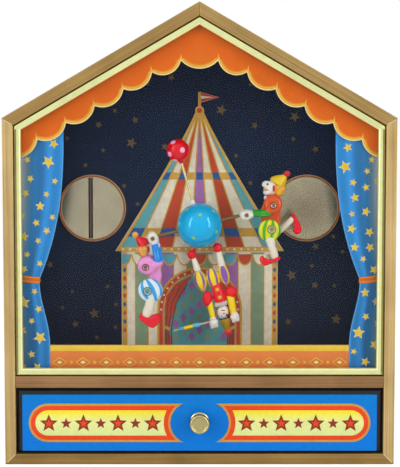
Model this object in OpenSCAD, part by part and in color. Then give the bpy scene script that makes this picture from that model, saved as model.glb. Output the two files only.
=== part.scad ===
// Wind-up display music box: a house-shaped case with a glazed stage, a turning rotor that carries
// three jointed clowns and a balloon, a spring movement behind the backdrop and a drawer below.
// Millimetres. X to the right, Y to the back, Z up. The origin is the middle of the base's underside.

/* [Case] */
// Width over the side panels
case_w = 216; // [200:1:270]
// Depth of the boards from front to back
case_d = 84; // [80:1:110]
// Height of the outer eave corners
eave_h = 192; // [185:1:240]
// Rise from the eaves to the ridge
roof_rise = 63; // [45:1:80]
// Thickness of the side panels
side_t = 6; // [4:0.5:9]
// Thickness of the roof panels
roof_t = 6.6; // [4:0.2:9]
// Thickness of the base board
base_t = 6; // [4:0.5:9]
// Thickness of the shelf between stage and drawer
shelf_t = 6.6; // [4:0.2:9]
// Clear height of the drawer bay
bay_h = 37; // [30:1:46]
// Thickness of the back panel
back_t = 3; // [2:0.5:5]
// How far the back panel lies inside the case
back_inset = 0.5; // [0:0.1:2]
// Gap round a panel that drops into the case
panel_gap = 0.15; // [0.05:0.05:0.4]

/* [Window] */
// Width of the bezel that frames the window
bezel_w = 3.8; // [2:0.2:8]
// Thickness of the bezel
bezel_t = 3; // [2:0.5:5]
// Recess of the bezel behind the front edges
bezel_inset = 0.8; // [0:0.1:2]
// Shadow gap between bezel and boards
bezel_gap = 0.3; // [0.1:0.1:0.8]
// Thickness of the clear pane
pane_t = 2; // [1:0.5:3]
// Thickness of the die-cut cards
card_t = 0.8; // [0.4:0.1:1.2]

/* [Stage cards] */
// Depth of the valance band, square to the roof, down to its cusps
valance_band = 13; // [8:0.5:16]
// Depth of the band at the two cusps of the middle scallop
middle_band = 15.5; // [8:0.5:20]
// Width of one scallop, measured level
scallop_w = 15.8; // [12:0.2:22]
// Width of the middle scallop
middle_scallop_w = 20.5; // [16:0.5:28]
// How far a scallop hangs below its cusps
scallop_drop = 4.5; // [3:0.5:8]
// Width of a curtain at its top
curtain_top_w = 27; // [18:0.5:40]
// Width of a curtain at its tie-back
curtain_tie_w = 13; // [8:0.5:18]
// Width of a curtain at its foot
curtain_foot_w = 18.7; // [12:0.1:26]
// Height of the curtain tie-backs
tie_z = 102.5; // [90:0.5:130]
// Height of the apron strip's upper edge
apron_top_z = 66; // [60:0.5:75]

/* [Backdrop] */
// Distance from the case front to the backdrop's face
backdrop_depth = 38; // [36:0.5:44]
// Thickness of the backdrop board
backdrop_t = 3; // [2:0.5:5]
// Thickness of the tent-shaped facade board
facade_t = 1.6; // [1:0.2:3]
// Half width of the facade's wall
facade_x = 45; // [35:1:55]
// Height of the facade's eave
facade_eave_z = 116; // [105:1:122]
// Height of the facade's peak
facade_peak_z = 198; // [170:1:205]
// Outer diameter of the mirror rims
mirror_d = 38.4; // [30:0.2:44]
// Width of a mirror rim
mirror_rim_w = 1.5; // [1:0.1:3]
// Distance of the mirrors from the middle
mirror_x = 61.6; // [60:0.2:72]
// Height of the mirrors
mirror_z = 140.6; // [120:0.2:160]

/* [Drawer] */
// Gap between the drawer front and the bay
drawer_gap = 0.6; // [0.3:0.1:1.2]
// Thickness of the drawer front
drawer_front_t = 6; // [4:0.5:10]
// Bevel width round the drawer front
drawer_bevel = 1.4; // [0.5:0.1:3]
// Thickness of the drawer's sides and back
drawer_wall = 4; // [3:0.5:6]
// Height of the drawer's sides
drawer_side_h = 28; // [20:1:32]
// Thickness of the drawer bottom
drawer_floor_t = 2; // [1.5:0.5:4]
// Black border beside the raised plate
plate_side = 3.1; // [1.5:0.1:8]
// Black border above the raised plate
plate_above = 3.2; // [1.5:0.1:6]
// Thickness of the raised plate
plate_t = 1.2; // [0.8:0.1:2]
// Height of the plaques
plaque_h = 21.6; // [14:0.2:26]
// Thickness of the plaques
plaque_t = 0.5; // [0.3:0.1:1]
// Distance of a plaque's outer end from the plate's end
plaque_margin = 3.5; // [2:0.1:10]
// Distance of a plaque's inner corners from the middle
plaque_inner_x = 9; // [8:0.5:14]
// Diameter of the knob's disc
knob_d = 11; // [8:0.5:16]
// How far the knob stands out from the plate
knob_h = 9; // [7:0.5:14]

/* [Rotor] */
// Height of the rotor's axis
rotor_z = 131.6; // [125:0.2:140]
// Distance of the ball's centre behind the case front
ball_depth = 22; // [21:0.5:24]
// Diameter of the ball
ball_d = 25.4; // [20:0.2:27]
// Diameter of the rotor shaft
shaft_d = 4; // [3:0.5:6]
// Running clearance on a radius
run_gap = 0.06; // [0.03:0.01:0.1]
// Diameter of the cross bar and its pins
bar_d = 2; // [1.4:0.1:2.4]
// Distance from the axis to the left and right pins
pin_r = 27; // [24:0.5:32]
// Angle by which the whole set is turned at rest
set_turn = 14; // [0:1:20]
// Diameter of the balloon
balloon_d = 13; // [9:0.5:16]
// Distance from the axis to the balloon
balloon_r = 44; // [38:0.5:52]

/* [Movement] */
// Module of the barrel and cylinder gears
drive_module = 0.8; // [0.7:0.05:0.9]
// Teeth on the spring barrel
barrel_teeth = 42; // [40:2:44]
// Teeth on the cylinder's pinion
pinion_teeth = 14; // [14:1:16]
// Module of the cylinder wheel and the fly
fly_module = 0.6; // [0.5:0.05:0.65]
// Teeth on the cylinder wheel
wheel_teeth = 36; // [34:2:38]
// Teeth on the fly's pinion
fly_teeth = 12; // [12:1:14]
// Play cut from each tooth at the pitch line
gear_play = 0.16; // [0.1:0.02:0.3]
// Diameter of the tune cylinder
cylinder_d = 13; // [11:0.5:14]
// Teeth of the comb
comb_teeth = 18; // [12:1:24]
// Thickness of the bedplate
bed_t = 2; // [1.5:0.5:3]
// Travel of the stop slider
stop_travel = 4; // [3:0.5:5]

/* [Hidden] */
$fn = 48;
half_w = case_w / 2;
inner_x = half_w - side_t;
front_y = -case_d / 2;
back_y = case_d / 2;
case_h = eave_h + roof_rise;
roof_m = roof_rise / half_w;
roof_k = sqrt(1 + roof_m * roof_m);
shelf_z0 = base_t + bay_h;
shelf_z1 = shelf_z0 + shelf_t;

// Height of a line parallel to the roof, drop below its outer face
function roof_z(x, drop) = case_h - drop * roof_k - abs(x) * roof_m;
// House outline: half width, floor height and drop below the roof's outer face
function house(half, floor_z, drop) = [
    [-half, floor_z], [half, floor_z], [half, roof_z(half, drop)],
    [0, roof_z(0, drop)], [-half, roof_z(half, drop)]
];
// Point at a distance and an angle from the rotor axis, the angle turned with the whole set
function polar(r, a) = [r * cos(a + set_turn), rotor_z + r * sin(a + set_turn)];

back_y1 = back_y - back_inset;
back_y0 = back_y1 - back_t;
bezel_y0 = front_y + bezel_inset;
pane_y0 = bezel_y0 + bezel_t;
card_y0 = pane_y0 + pane_t;
curtain_y0 = card_y0 + card_t;
backdrop_y0 = front_y + backdrop_depth;
backdrop_y1 = backdrop_y0 + backdrop_t;
facade_y0 = backdrop_y0 - facade_t;
ball_y = front_y + ball_depth;
ball_r = ball_d / 2;

// Movement stations along Y, counted from the back of the backdrop
bed_y1 = backdrop_y1 + bed_t;
gear_y0 = bed_y1 + 2;
gear_w = 3;
drum_y0 = gear_y0 + gear_w + 1;
drum_l = 19;
drum_y1 = drum_y0 + drum_l;
wheel_y0 = drum_y1 + 1.5;
wheel_w = 2;
bridge_y0 = wheel_y0 + wheel_w + 1;
bridge_t = 2;
bridge_y1 = bridge_y0 + bridge_t;

barrel_at = [0, rotor_z];
mesh_gap = drive_module * (barrel_teeth + pinion_teeth) / 2;
cylinder_at = barrel_at + [mesh_gap, 0];
fly_angle = 60;
fly_reach = fly_module * (wheel_teeth + fly_teeth) / 2;
fly_at = cylinder_at + fly_reach * [cos(fly_angle), sin(fly_angle)];
part_gap = 0.8;
drum_r = min(drive_module * barrel_teeth / 2 - 2, mesh_gap - cylinder_d / 2 - part_gap);
arbor_r = 2.5;
pivot_r = 1.2;
comb_gap = 0.4;
comb_t = 1;
comb_tip_x = cylinder_at[0] + cylinder_d / 2 + comb_gap;
comb_root_x = comb_tip_x + 11;
comb_end_x = comb_root_x + 10;
comb_z0 = rotor_z - comb_t / 2;
fan_r = min(6.4, fly_reach - cylinder_d / 2 - part_gap);
brake_r = 4;
wire_r = 0.6;
post_r = 2.5;
post_list = [[-16, rotor_z + 20], [-16, rotor_z - 20], [34, rotor_z - 16]];
bed_low = [-27, rotor_z - 26];
bed_high = [comb_end_x + 3, rotor_z + 27];
bed_screw_list = [
    bed_low + [4, 4], [bed_high[0] - 4, bed_low[1] + 4],
    [bed_low[0] + 4, bed_high[1] - 4], bed_high - [4, 4]
];
screw_r = 1.4;
screw_head_r = 2.7;
screw_fit = 0.02;

// Cleats behind the backdrop and blocks for the back panel
cleat = 9;
cleat_z0 = shelf_z1 + 8;
cleat_z1 = eave_h - 24;
block_l = 12;
block_list = [
    for (x = [-1, 1]) for (z = [shelf_z1, eave_h - 22]) [x * (inner_x - cleat / 2), z + cleat / 2]
];

// Figures: three layers along Y, with a gap between them
layer_gap = 0.4;
pin_y1 = ball_y;
far_y1 = ball_y - bar_d / 2 - 0.6;
far_y0 = far_y1 - 2.3;
mid_y1 = far_y0 - layer_gap;
mid_y0 = mid_y1 - 3.2;
near_y1 = mid_y0 - layer_gap;
near_y0 = near_y1 - 2.4;
mid_y = (mid_y0 + mid_y1) / 2;
cap_y1 = near_y0 - 0.3;
cap_y0 = cap_y1 - 1.2;
rivet_r = 1.1;
rivet_head_r = 1.9;
glove_r = 2.9;
limb_r = 2;
shoe_r = 1.9;
puff_r = 6.2;

left_pin = polar(pin_r, 180);
right_pin = polar(pin_r, 0);
// Left clown, hanging from its pin
left_elbow = left_pin + [3.7, -14.6];
left_shoulder = left_pin + [-3.9, -16];
left_hip = left_shoulder + [1, -13.5];
left_head = left_shoulder + [-2, 9.8];
left_pompon = left_head + [-4.3, 8];
left_ankle = left_hip + [-0.7, -14.5];
left_toe = left_ankle + [3.6, -3.6];
left_heel = left_ankle + [-1.6, -2.6];
// Right clown, held out sideways from its pin
right_elbow = right_pin + [11.2, 2.6];
right_shoulder = right_pin + [14.9, 5.5];
right_hip = right_shoulder + [-1, -13.4];
right_head = right_shoulder + [0.6, 9.2];
right_pompon = right_head + [7.8, 7.9];
right_ankle = right_hip + [2.4, -15.6];
right_toe = right_ankle + [-6.6, -3.2];
right_heel = right_ankle + [1, -3];
right_far_ankle = right_hip + [11.8, 6.2];
right_far_toe = right_far_ankle + [4.6, -8];
right_far_heel = right_far_ankle + [0.6, 1.4];
// Upside-down tumbler below the ball: along is away from the axis, across is to its right
tumbler_turn = -90 + set_turn;
tumbler_hip = 30;
tumbler_shoulder = 41.5;
tumbler_head = tumbler_shoulder + 8.8;
tumbler_hand = tumbler_shoulder + 14;
tumbler_pompon = tumbler_shoulder + 20;
tumbler_leg_x = 6.4;
tumbler_arm_x = 7.2;
tumbler_hand_x = 6.8;
tumbler_sole = ball_r + 1.5;
tumbler_pin_r = 1.1;
tumbler_peg_z = sqrt(ball_r * ball_r - tumbler_leg_x * tumbler_leg_x) - 2;

gold = [0.66, 0.54, 0.31];
pale_gold = [0.83, 0.82, 0.52];
orange = [0.82, 0.38, 0.11];
sky = [0.17, 0.53, 0.88];
navy = [0.08, 0.15, 0.25];
cream = [0.85, 0.82, 0.7];
brass = [0.78, 0.66, 0.36];
steel = [0.62, 0.63, 0.64];
zinc = [0.5, 0.51, 0.52];
wood = [0.72, 0.58, 0.4];
black = [0.07, 0.07, 0.08];
red = [0.78, 0.13, 0.1];
white = [0.93, 0.92, 0.88];

// Shared shapes

// Extrudes an XZ outline from y0 to y1
module slab(y0, y1) {
    translate([0, y1, 0]) rotate([90, 0, 0]) linear_extrude(y1 - y0) children();
}

// Round bar along Y at an XZ point
module peg(at, r, y0, y1) {
    translate([at[0], y1, at[1]]) rotate([90, 0, 0]) cylinder(h = y1 - y0, r = r);
}

// Round or tapered bar between two points
module rod(from, to, r0, r1) {
    d = to - from;
    translate(from)
        rotate([0, acos(d[2] / norm(d)), atan2(d[1], d[0])])
            cylinder(h = norm(d), r1 = r0, r2 = r1);
}

// Flat bar with round ends in an XZ outline, its shank a little slimmer than its ends
shank = 0.95;
module stick(from, to, r) {
    d = to - from;
    translate(from) circle(r);
    translate(to) circle(r);
    translate(from) rotate(atan2(d[1], d[0]))
        translate([0, -shank * r]) square([norm(d), 2 * shank * r]);
}

// Moves a sphere to a point with its poles and seam clear of the bores in the rotor's plane
pole_turn = 49;
module seam_forward(at) {
    translate(at) rotate([0, pole_turn - set_turn, 0]) rotate([0, 0, -90]) children();
}

// Involute helper: the angle, in degrees, that belongs to a pressure angle
pressure = 20;
function involute(a) = tan(a) * 180 / PI - a;
function tooth_half(r, pitch_r, half) =
    half + involute(pressure)
    - (r > pitch_r * cos(pressure) ? involute(acos(pitch_r * cos(pressure) / r)) : 0);

// Spur gear outline with a tooth centred at the angle phase
module gear(teeth, mod, phase) {
    pitch_r = teeth * mod / 2;
    half = 90 / teeth - gear_play / 2 / pitch_r * 180 / PI;
    radii = [pitch_r - 1.15 * mod, pitch_r - 0.45 * mod, pitch_r, pitch_r + 0.8 * mod];
    polygon([
        for (i = [0 : teeth - 1])
            for (j = [0 : 7])
                let (r = radii[j < 4 ? j : 7 - j])
                let (a = phase + i * 360 / teeth + (j < 4 ? -1 : 1) * tooth_half(r, pitch_r, half))
                [r * cos(a), r * sin(a)]
    ]);
}

// Case

// Side board, mitred at the base and at the eave
module side_outline() {
    polygon([
        [half_w, 0], [half_w, eave_h], [inner_x, roof_z(inner_x, roof_t)], [inner_x, base_t]
    ]);
}

module side_panel_right() {
    color(gold) slab(front_y, back_y) side_outline();
}

module side_panel_left() {
    color(gold) mirror([1, 0, 0]) slab(front_y, back_y) side_outline();
}

// Roof board, mitred at the eave and at the ridge
module roof_outline() {
    polygon([
        [half_w, eave_h], [0, case_h], [0, roof_z(0, roof_t)], [inner_x, roof_z(inner_x, roof_t)]
    ]);
}

module roof_panel_right() {
    color(gold) slab(front_y, back_y) roof_outline();
}

module roof_panel_left() {
    color(gold) mirror([1, 0, 0]) slab(front_y, back_y) roof_outline();
}

module base_board() {
    color(gold) slab(front_y, back_y)
        polygon([[-half_w, 0], [half_w, 0], [inner_x, base_t], [-inner_x, base_t]]);
}

module middle_shelf() {
    color(gold)
        translate([-inner_x, front_y, shelf_z0])
            cube([2 * inner_x, back_y0 - front_y, shelf_t]);
}

stop_slot_h = 5;
slot_x0 = fly_at[0] + brake_r + 0.3 + wire_r - 2.5;
slot_x1 = slot_x0 + 5 + stop_travel + 0.6;
module back_panel() {
    color(wood) difference() {
        slab(back_y0, back_y1)
            polygon(house(inner_x - panel_gap, base_t + panel_gap, roof_t + panel_gap));
        peg(barrel_at, 4.5, back_y0 - 1, back_y1 + 1);
        translate([slot_x0 - 0.3, back_y0 - 1, fly_at[1] - stop_slot_h / 2])
            cube([slot_x1 - slot_x0, back_t + 2, stop_slot_h]);
        for (p = block_list) peg(p, screw_r + screw_fit, back_y0 - 1, back_y1 + 1);
    }
}

// Two strips glued behind the backdrop and four blocks that take the back panel's screws
module case_cleats() {
    color(wood) {
        for (x = [-1, 1])
            translate([x * (inner_x - cleat / 2) - cleat / 2, backdrop_y1, cleat_z0])
                cube([cleat, cleat, cleat_z1 - cleat_z0]);
        difference() {
            for (p = block_list)
                translate([p[0] - cleat / 2, back_y0 - block_l, p[1] - cleat / 2])
                    cube([cleat, block_l, cleat]);
            for (p = block_list) peg(p, screw_r + screw_fit, back_y0 - 9, back_y0 + 1);
        }
    }
}

module back_panel_screws() {
    color(steel)
        for (p = block_list) {
            peg(p, screw_r, back_y0 - 8, back_y1);
            difference() {
                peg(p, screw_head_r, back_y1, back_y1 + 1.4);
                translate([p[0] - 2, back_y1 + 0.8, p[1] - 0.35]) cube([4, 2, 0.7]);
            }
        }
}

// Window

module window_bezel() {
    inset = bezel_gap + bezel_w;
    color(pale_gold) slab(bezel_y0, pane_y0) difference() {
        polygon(house(inner_x - bezel_gap, shelf_z1 + bezel_gap, roof_t + bezel_gap));
        polygon(house(inner_x - inset, shelf_z1 + inset, roof_t + inset));
    }
}

module pane_outline() {
    polygon(house(inner_x - bezel_gap, shelf_z1 + bezel_gap, roof_t + bezel_gap));
}

module window_pane() {
    color([0.8, 0.9, 0.95, 0.25]) slab(pane_y0, card_y0) pane_outline();
}

// Cusp of the valance's lower edge at x; those of the middle scallop hang lower
function cusp(x) = [x, roof_z(x, roof_t + (abs(x) > middle_scallop_w / 2 ? valance_band : middle_band))];

// Lobe of the valance that hangs between two cusps
module scallop(x0, x1) {
    a = cusp(x0);
    b = cusp(x1);
    chord = norm(b - a);
    r = (chord * chord / 4 + scallop_drop * scallop_drop) / (2 * scallop_drop);
    side = (b - a) / chord;
    translate((a + b) / 2 + (r - scallop_drop) * [-side[1], side[0]]) circle(r);
}

module valance_card() {
    drop = roof_t + valance_band;
    first = middle_scallop_w / 2;
    count = ceil((inner_x - first) / scallop_w);
    color(orange) slab(card_y0, curtain_y0) intersection() {
        pane_outline();
        union() {
            polygon([
                [-half_w, roof_z(half_w, drop)], cusp(-first - scallop_w), cusp(-first),
                cusp(first), cusp(first + scallop_w), [half_w, roof_z(half_w, drop)],
                [half_w, case_h], [-half_w, case_h]
            ]);
            scallop(-first, first);
            for (i = [0 : count - 1]) {
                scallop(first + i * scallop_w, first + (i + 1) * scallop_w);
                scallop(-first - (i + 1) * scallop_w, -first - i * scallop_w);
            }
        }
    }
}

// Half width of the stage along the curtain's edge: upright at first, drawn in to the tie, then flared
curtain_steps = 14;
curtain_draw = 2.5;
curtain_top_x = inner_x - curtain_top_w;
curtain_tie_x = inner_x - curtain_tie_w;
curtain_foot_x = inner_x - curtain_foot_w;
curtain_head_z = roof_z(curtain_top_x, roof_t + valance_band) - scallop_drop;
function ease(t) = (1 - cos(180 * t)) / 2;
function curtain_upper(t) = curtain_top_x + (curtain_tie_x - curtain_top_x) * pow(t, curtain_draw);
function curtain_lower(t) = curtain_tie_x + (curtain_foot_x - curtain_tie_x) * ease(t);

module curtain_outline() {
    drop = roof_t + bezel_gap;
    edge = inner_x - bezel_gap;
    polygon(concat(
        [[edge, shelf_z1 + bezel_gap], [edge, roof_z(edge, drop)]],
        [[curtain_top_x, roof_z(curtain_top_x, drop + 1)]],
        [for (i = [0 : curtain_steps]) let (t = i / curtain_steps)
            [curtain_upper(t), curtain_head_z + (tie_z - curtain_head_z) * t]],
        [for (i = [1 : curtain_steps]) let (t = i / curtain_steps)
            [curtain_lower(t), tie_z + (apron_top_z - tie_z) * t]],
        [[curtain_foot_x, shelf_z1 + bezel_gap]]
    ));
}

module curtain_card_right() {
    color(sky) slab(curtain_y0, curtain_y0 + card_t) curtain_outline();
}

module curtain_card_left() {
    color(sky) mirror([1, 0, 0]) slab(curtain_y0, curtain_y0 + card_t) curtain_outline();
}

module apron_card() {
    half = curtain_foot_x - panel_gap;
    color(orange)
        translate([-half, curtain_y0, shelf_z1 + bezel_gap])
            cube([2 * half, card_t, apron_top_z - shelf_z1 - bezel_gap]);
}

// Backdrop

module backdrop_board() {
    color(navy) difference() {
        slab(backdrop_y0, backdrop_y1)
            polygon(house(inner_x - panel_gap, shelf_z1, roof_t + panel_gap));
        peg(barrel_at, shaft_d, backdrop_y0 - 1, backdrop_y1 + 1);
        for (p = bed_screw_list) peg(p, screw_r + screw_fit, backdrop_y0 + 0.8, backdrop_y1 + 1);
    }
}

// Tent front: upright walls, a concave roof and a pennant on its pole
facade_steps = 8;
facade_over = 3.5;
function tent_x(t) = (facade_x + facade_over) * pow(1 - t, 1.1) + 1.2 * t;
function tent_side(side) = [
    for (i = [0 : facade_steps]) let (t = i / facade_steps)
        [side * tent_x(t), facade_eave_z + (facade_peak_z - facade_eave_z) * t]
];
module facade_panel() {
    pole_z = facade_peak_z + 9;
    right_side = tent_side(1);
    left_side = tent_side(-1);
    color(cream) difference() {
        slab(facade_y0, backdrop_y0) union() {
            translate([-facade_x, shelf_z1]) square([2 * facade_x, facade_eave_z - shelf_z1 + 1]);
            polygon(concat(right_side, [for (i = [facade_steps : -1 : 0]) left_side[i]]));
            polygon([
                [-0.8, facade_peak_z - 2], [0.8, facade_peak_z - 2], [0.8, pole_z - 6],
                [11, pole_z - 3], [0.8, pole_z], [-0.8, pole_z]
            ]);
        }
        peg(barrel_at, shaft_d, facade_y0 - 1, backdrop_y0 + 1);
    }
}

module mirror_discs() {
    color(steel)
        for (x = [-1, 1])
            peg([x * mirror_x, mirror_z], mirror_d / 2 - mirror_rim_w - screw_fit,
                backdrop_y0 - 1, backdrop_y0);
}

module mirror_rims() {
    color(brass)
        for (x = [-1, 1])
            difference() {
                peg([x * mirror_x, mirror_z], mirror_d / 2, backdrop_y0 - 1.6, backdrop_y0);
                peg([x * mirror_x, mirror_z], mirror_d / 2 - mirror_rim_w,
                    backdrop_y0 - 3, backdrop_y0 + 1);
            }
}

// Movement

module shaft_bush() {
    color(brass) difference() {
        union() {
            peg(barrel_at, shaft_d - screw_fit, facade_y0, bed_y1);
            peg(barrel_at, shaft_d + 1.5, facade_y0 - 0.9, facade_y0);
        }
        peg(barrel_at, shaft_d / 2 + run_gap, facade_y0 - 3, bed_y1 + 1);
    }
}

// Cast bedplate with the block that carries the comb
module bedplate() {
    color(zinc) difference() {
        union() {
            translate([bed_low[0], backdrop_y1, bed_low[1]])
                cube([bed_high[0] - bed_low[0], bed_t, bed_high[1] - bed_low[1]]);
            translate([comb_root_x, bed_y1 - 0.5, comb_z0 - 8])
                cube([comb_end_x - comb_root_x, drum_y1 - bed_y1 + 0.5, 8]);
        }
        peg(barrel_at, shaft_d, backdrop_y1 - 1, bed_y1 + 1);
        peg(cylinder_at, pivot_r + run_gap, backdrop_y1 + 0.4, bed_y1 + 1);
        peg(fly_at, pivot_r + run_gap, backdrop_y1 + 0.4, bed_y1 + 1);
        for (p = bed_screw_list) peg(p, screw_r + screw_fit, backdrop_y1 - 1, bed_y1 + 1);
        for (p = post_list) peg(p, screw_r + screw_fit, backdrop_y1 - 1, bed_y1 + 1);
        for (y = comb_screw_y)
            translate([comb_screw_x, y, comb_z0 - 6]) cylinder(h = 8, r = screw_r + screw_fit);
    }
}
comb_screw_x = (comb_root_x + comb_end_x) / 2 + 1;
comb_screw_y = [drum_y0 + 4, drum_y1 - 4];

// Bedplate screws into the backdrop, bridge screws and comb screws
module movement_screws() {
    color(steel) {
        for (p = bed_screw_list) {
            peg(p, screw_r, backdrop_y0 + 1, bed_y1);
            peg(p, screw_head_r, bed_y1, bed_y1 + 1.6);
        }
        for (p = post_list) {
            peg(p, screw_r, bridge_y0 - 6, bridge_y1);
            peg(p, screw_head_r, bridge_y1, bridge_y1 + 1.6);
        }
        for (y = comb_screw_y) {
            translate([comb_screw_x, y, comb_z0 - 5]) cylinder(h = 5 + comb_t, r = screw_r);
            translate([comb_screw_x, y, comb_z0 + comb_t]) cylinder(h = 1.6, r = screw_head_r);
        }
    }
}

// Rear plate on three posts, with the rear pivots
module rear_bridge() {
    color(zinc) difference() {
        union() {
            slab(bridge_y0, bridge_y1) polygon([
                post_list[0] + [-5, 5], post_list[1] + [-5, -5], post_list[2] + [4, -5],
                [post_list[2][0] + 4, rotor_z], [fly_at[0] + 3.4, fly_at[1] - 6],
                [fly_at[0] + 3.4, fly_at[1] + 5],
                [fly_at[0] - 8, post_list[0][1] + 5]
            ]);
            for (p = post_list) peg(p, post_r, bed_y1, bridge_y0);
        }
        peg(barrel_at, arbor_r + run_gap, bridge_y0 - 1, bridge_y1 + 1);
        peg(cylinder_at, pivot_r + run_gap, bridge_y0 - 1, bridge_y1 + 1);
        peg(fly_at, pivot_r + run_gap, bridge_y0 - 1, bridge_y1 + 1);
        for (p = post_list) peg(p, screw_r + screw_fit, bridge_y0 - 7, bridge_y1 + 1);
    }
}

// Comb: a plate with tapered-length teeth that reach towards the cylinder
module music_comb() {
    pitch = (drum_l - 1) / comb_teeth;
    tooth_w = pitch * 0.7;
    color(steel) difference() {
        union() {
            translate([comb_root_x, drum_y0, comb_z0])
                cube([comb_end_x - comb_root_x, drum_l, comb_t]);
            for (i = [0 : comb_teeth - 1])
                translate([comb_tip_x, drum_y0 + 0.5 + i * pitch, comb_z0])
                    cube([comb_root_x - comb_tip_x + 0.2 + 2 * i / comb_teeth, tooth_w, comb_t]);
        }
        for (y = comb_screw_y)
            translate([comb_screw_x, y, comb_z0 - 1])
                cylinder(h = comb_t + 2, r = screw_r + screw_fit);
    }
}

module spring_barrel() {
    color(brass) difference() {
        union() {
            translate([barrel_at[0], 0, barrel_at[1]])
                slab(gear_y0, gear_y0 + gear_w) gear(barrel_teeth, drive_module, 0);
            peg(barrel_at, drum_r, gear_y0 + gear_w - 0.5, drum_y1);
        }
        peg(barrel_at, shaft_d / 2 + screw_fit, gear_y0 - 1, gear_y0 + 5);
        peg(barrel_at, arbor_r + run_gap, gear_y0 + 6, drum_y1 + 1);
    }
}

module tune_cylinder() {
    color(brass) {
        translate([cylinder_at[0], 0, cylinder_at[1]])
            slab(gear_y0, gear_y0 + gear_w) gear(pinion_teeth, drive_module, 180 + 180 / pinion_teeth);
        peg(cylinder_at, cylinder_d / 2, drum_y0, drum_y1);
        translate([cylinder_at[0], 0, cylinder_at[1]])
            slab(wheel_y0, wheel_y0 + wheel_w) gear(wheel_teeth, fly_module, fly_angle);
        peg(cylinder_at, pivot_r, backdrop_y1 + 0.7, bridge_y1);
        peg(cylinder_at, 2.2, gear_y0 + 0.5, wheel_y0 + 0.5);
    }
}

// Fly: pinion, brake disc and two air vanes on one spindle
module governor_fly() {
    vane_y0 = drum_y0 + 2;
    vane_y1 = drum_y0 + 11;
    color(steel) {
        translate([fly_at[0], 0, fly_at[1]])
            slab(wheel_y0 - 0.3, wheel_y0 + wheel_w + 0.3)
                gear(fly_teeth, fly_module, fly_angle + 180 + 180 / fly_teeth);
        peg(fly_at, pivot_r, backdrop_y1 + 0.7, bridge_y1);
        peg(fly_at, brake_r, vane_y1 + 1, vane_y1 + 2.5);
        translate([fly_at[0] - fan_r, vane_y0, fly_at[1] - 0.4])
            cube([2 * fan_r, vane_y1 - vane_y0, 0.8]);
    }
}

key_shank_r = 1.5;
key_shank_l = 6;
module spring_arbor() {
    color(steel) difference() {
        peg(barrel_at, arbor_r, gear_y0 + 6.5, back_y0 - 1);
        peg(barrel_at, key_shank_r + screw_fit, back_y0 - key_shank_l - 1, back_y0);
    }
}

// Folded wing key on a threaded shank
key_hub_r = 3.2;
key_lobe_r = 5.5;
key_t = 2.2;
key_eye_x = 6;
key_eye_r = 2.2;
module winding_key() {
    grip_y0 = back_y1 + 6;
    grip_y = grip_y0 + key_lobe_r;
    color(pale_gold) difference() {
        union() {
            peg(barrel_at, key_shank_r, back_y0 - key_shank_l, back_y1 + 2);
            peg(barrel_at, key_hub_r, back_y1 + 1, grip_y0 + 1);
            translate([0, grip_y, rotor_z - key_t / 2]) linear_extrude(key_t) union() {
                for (x = [-1, 1]) translate([x * key_lobe_r, 0]) circle(key_lobe_r);
                translate([-key_lobe_r, -key_lobe_r]) square(2 * key_lobe_r);
            }
        }
        for (x = [-1, 1])
            translate([x * key_eye_x, grip_y, rotor_z - key_t]) cylinder(h = 2 * key_t, r = key_eye_r);
    }
}

// Stop slider: a plate behind the back panel, its button outside and a wire towards the fly
stop_x = slot_x0 + 2.5 + stop_travel;
stop_gap = 0.3;
stop_plate = [14, 1.2, 9];
stop_plate_left = 6;
stop_neck = 4;
stop_button = [9, 2.4, 7.2];
module stop_slider() {
    plate_y1 = back_y0 - stop_gap;
    wire_y0 = drum_y0 + 11.8;
    color(steel) {
        translate([stop_x - stop_plate_left, plate_y1 - stop_plate[1], fly_at[1] - stop_plate[2] / 2])
            cube(stop_plate);
        translate([stop_x - stop_neck / 2, plate_y1 - 0.5, fly_at[1] - stop_neck / 2])
            cube([stop_neck, back_t + 1.4, stop_neck]);
        translate([stop_x - stop_button[0] / 2, back_y1 + stop_gap, fly_at[1] - stop_button[2] / 2])
            cube(stop_button);
        peg([stop_x, fly_at[1]], wire_r, wire_y0, plate_y1 - 0.6);
    }
}

// Rotor

shaft_y0 = ball_y + bar_d / 2 + 1;
module rotor_shaft() {
    color(steel) peg(barrel_at, shaft_d / 2, shaft_y0, gear_y0 + 4.8);
}

module ball() {
    color(sky) difference() {
        seam_forward([0, ball_y, rotor_z]) sphere(ball_r);
        peg(barrel_at, shaft_d / 2 + screw_fit, shaft_y0 - 0.2, ball_y + ball_r + 1);
        rod(at_depth(left_pin, ball_y), at_depth(right_pin, ball_y),
            bar_d / 2 + screw_fit, bar_d / 2 + screw_fit);
        rod(at_depth(polar(5, 92), ball_y), at_depth(polar(30, 92), ball_y),
            bar_d / 2 + screw_fit, bar_d / 2 + screw_fit);
        for (x = [-1, 1])
            tumbler_place() translate([x * tumbler_leg_x, 0, tumbler_peg_z - 0.2])
                cylinder(h = ball_r, r = tumbler_pin_r + screw_fit);
    }
}
function at_depth(p, y) = [p[0], y, p[1]];

// The bar is a little fuller where it bends
bend_swell = 0.25;
// The bar through the ball passes in front of the shaft's end and turns forward into two pins
module cross_bar() {
    color(pale_gold) {
        rod(at_depth(left_pin, ball_y), at_depth(right_pin, ball_y), bar_d / 2, bar_d / 2);
        for (p = [left_pin, right_pin]) {
            peg(p, bar_d / 2, cap_y0 + 0.4, pin_y1);
            translate(at_depth(p, ball_y)) rotate([0, 45, 30]) sphere(bar_d / 2 + bend_swell);
        }
    }
}

module pin_caps() {
    color(brass)
        for (p = [left_pin, right_pin])
            difference() {
                peg(p, 1.9, cap_y0, cap_y1);
                peg(p, bar_d / 2 + screw_fit, cap_y0 + 0.3, cap_y1 + 1);
            }
}

balloon_at = polar(balloon_r, 92);
module balloon_stick() {
    color(pale_gold)
        rod(at_depth(polar(6, 92), ball_y), at_depth(polar(balloon_r - balloon_d / 2 + 2.5, 92), ball_y),
            bar_d / 2, bar_d / 2);
}

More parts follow.
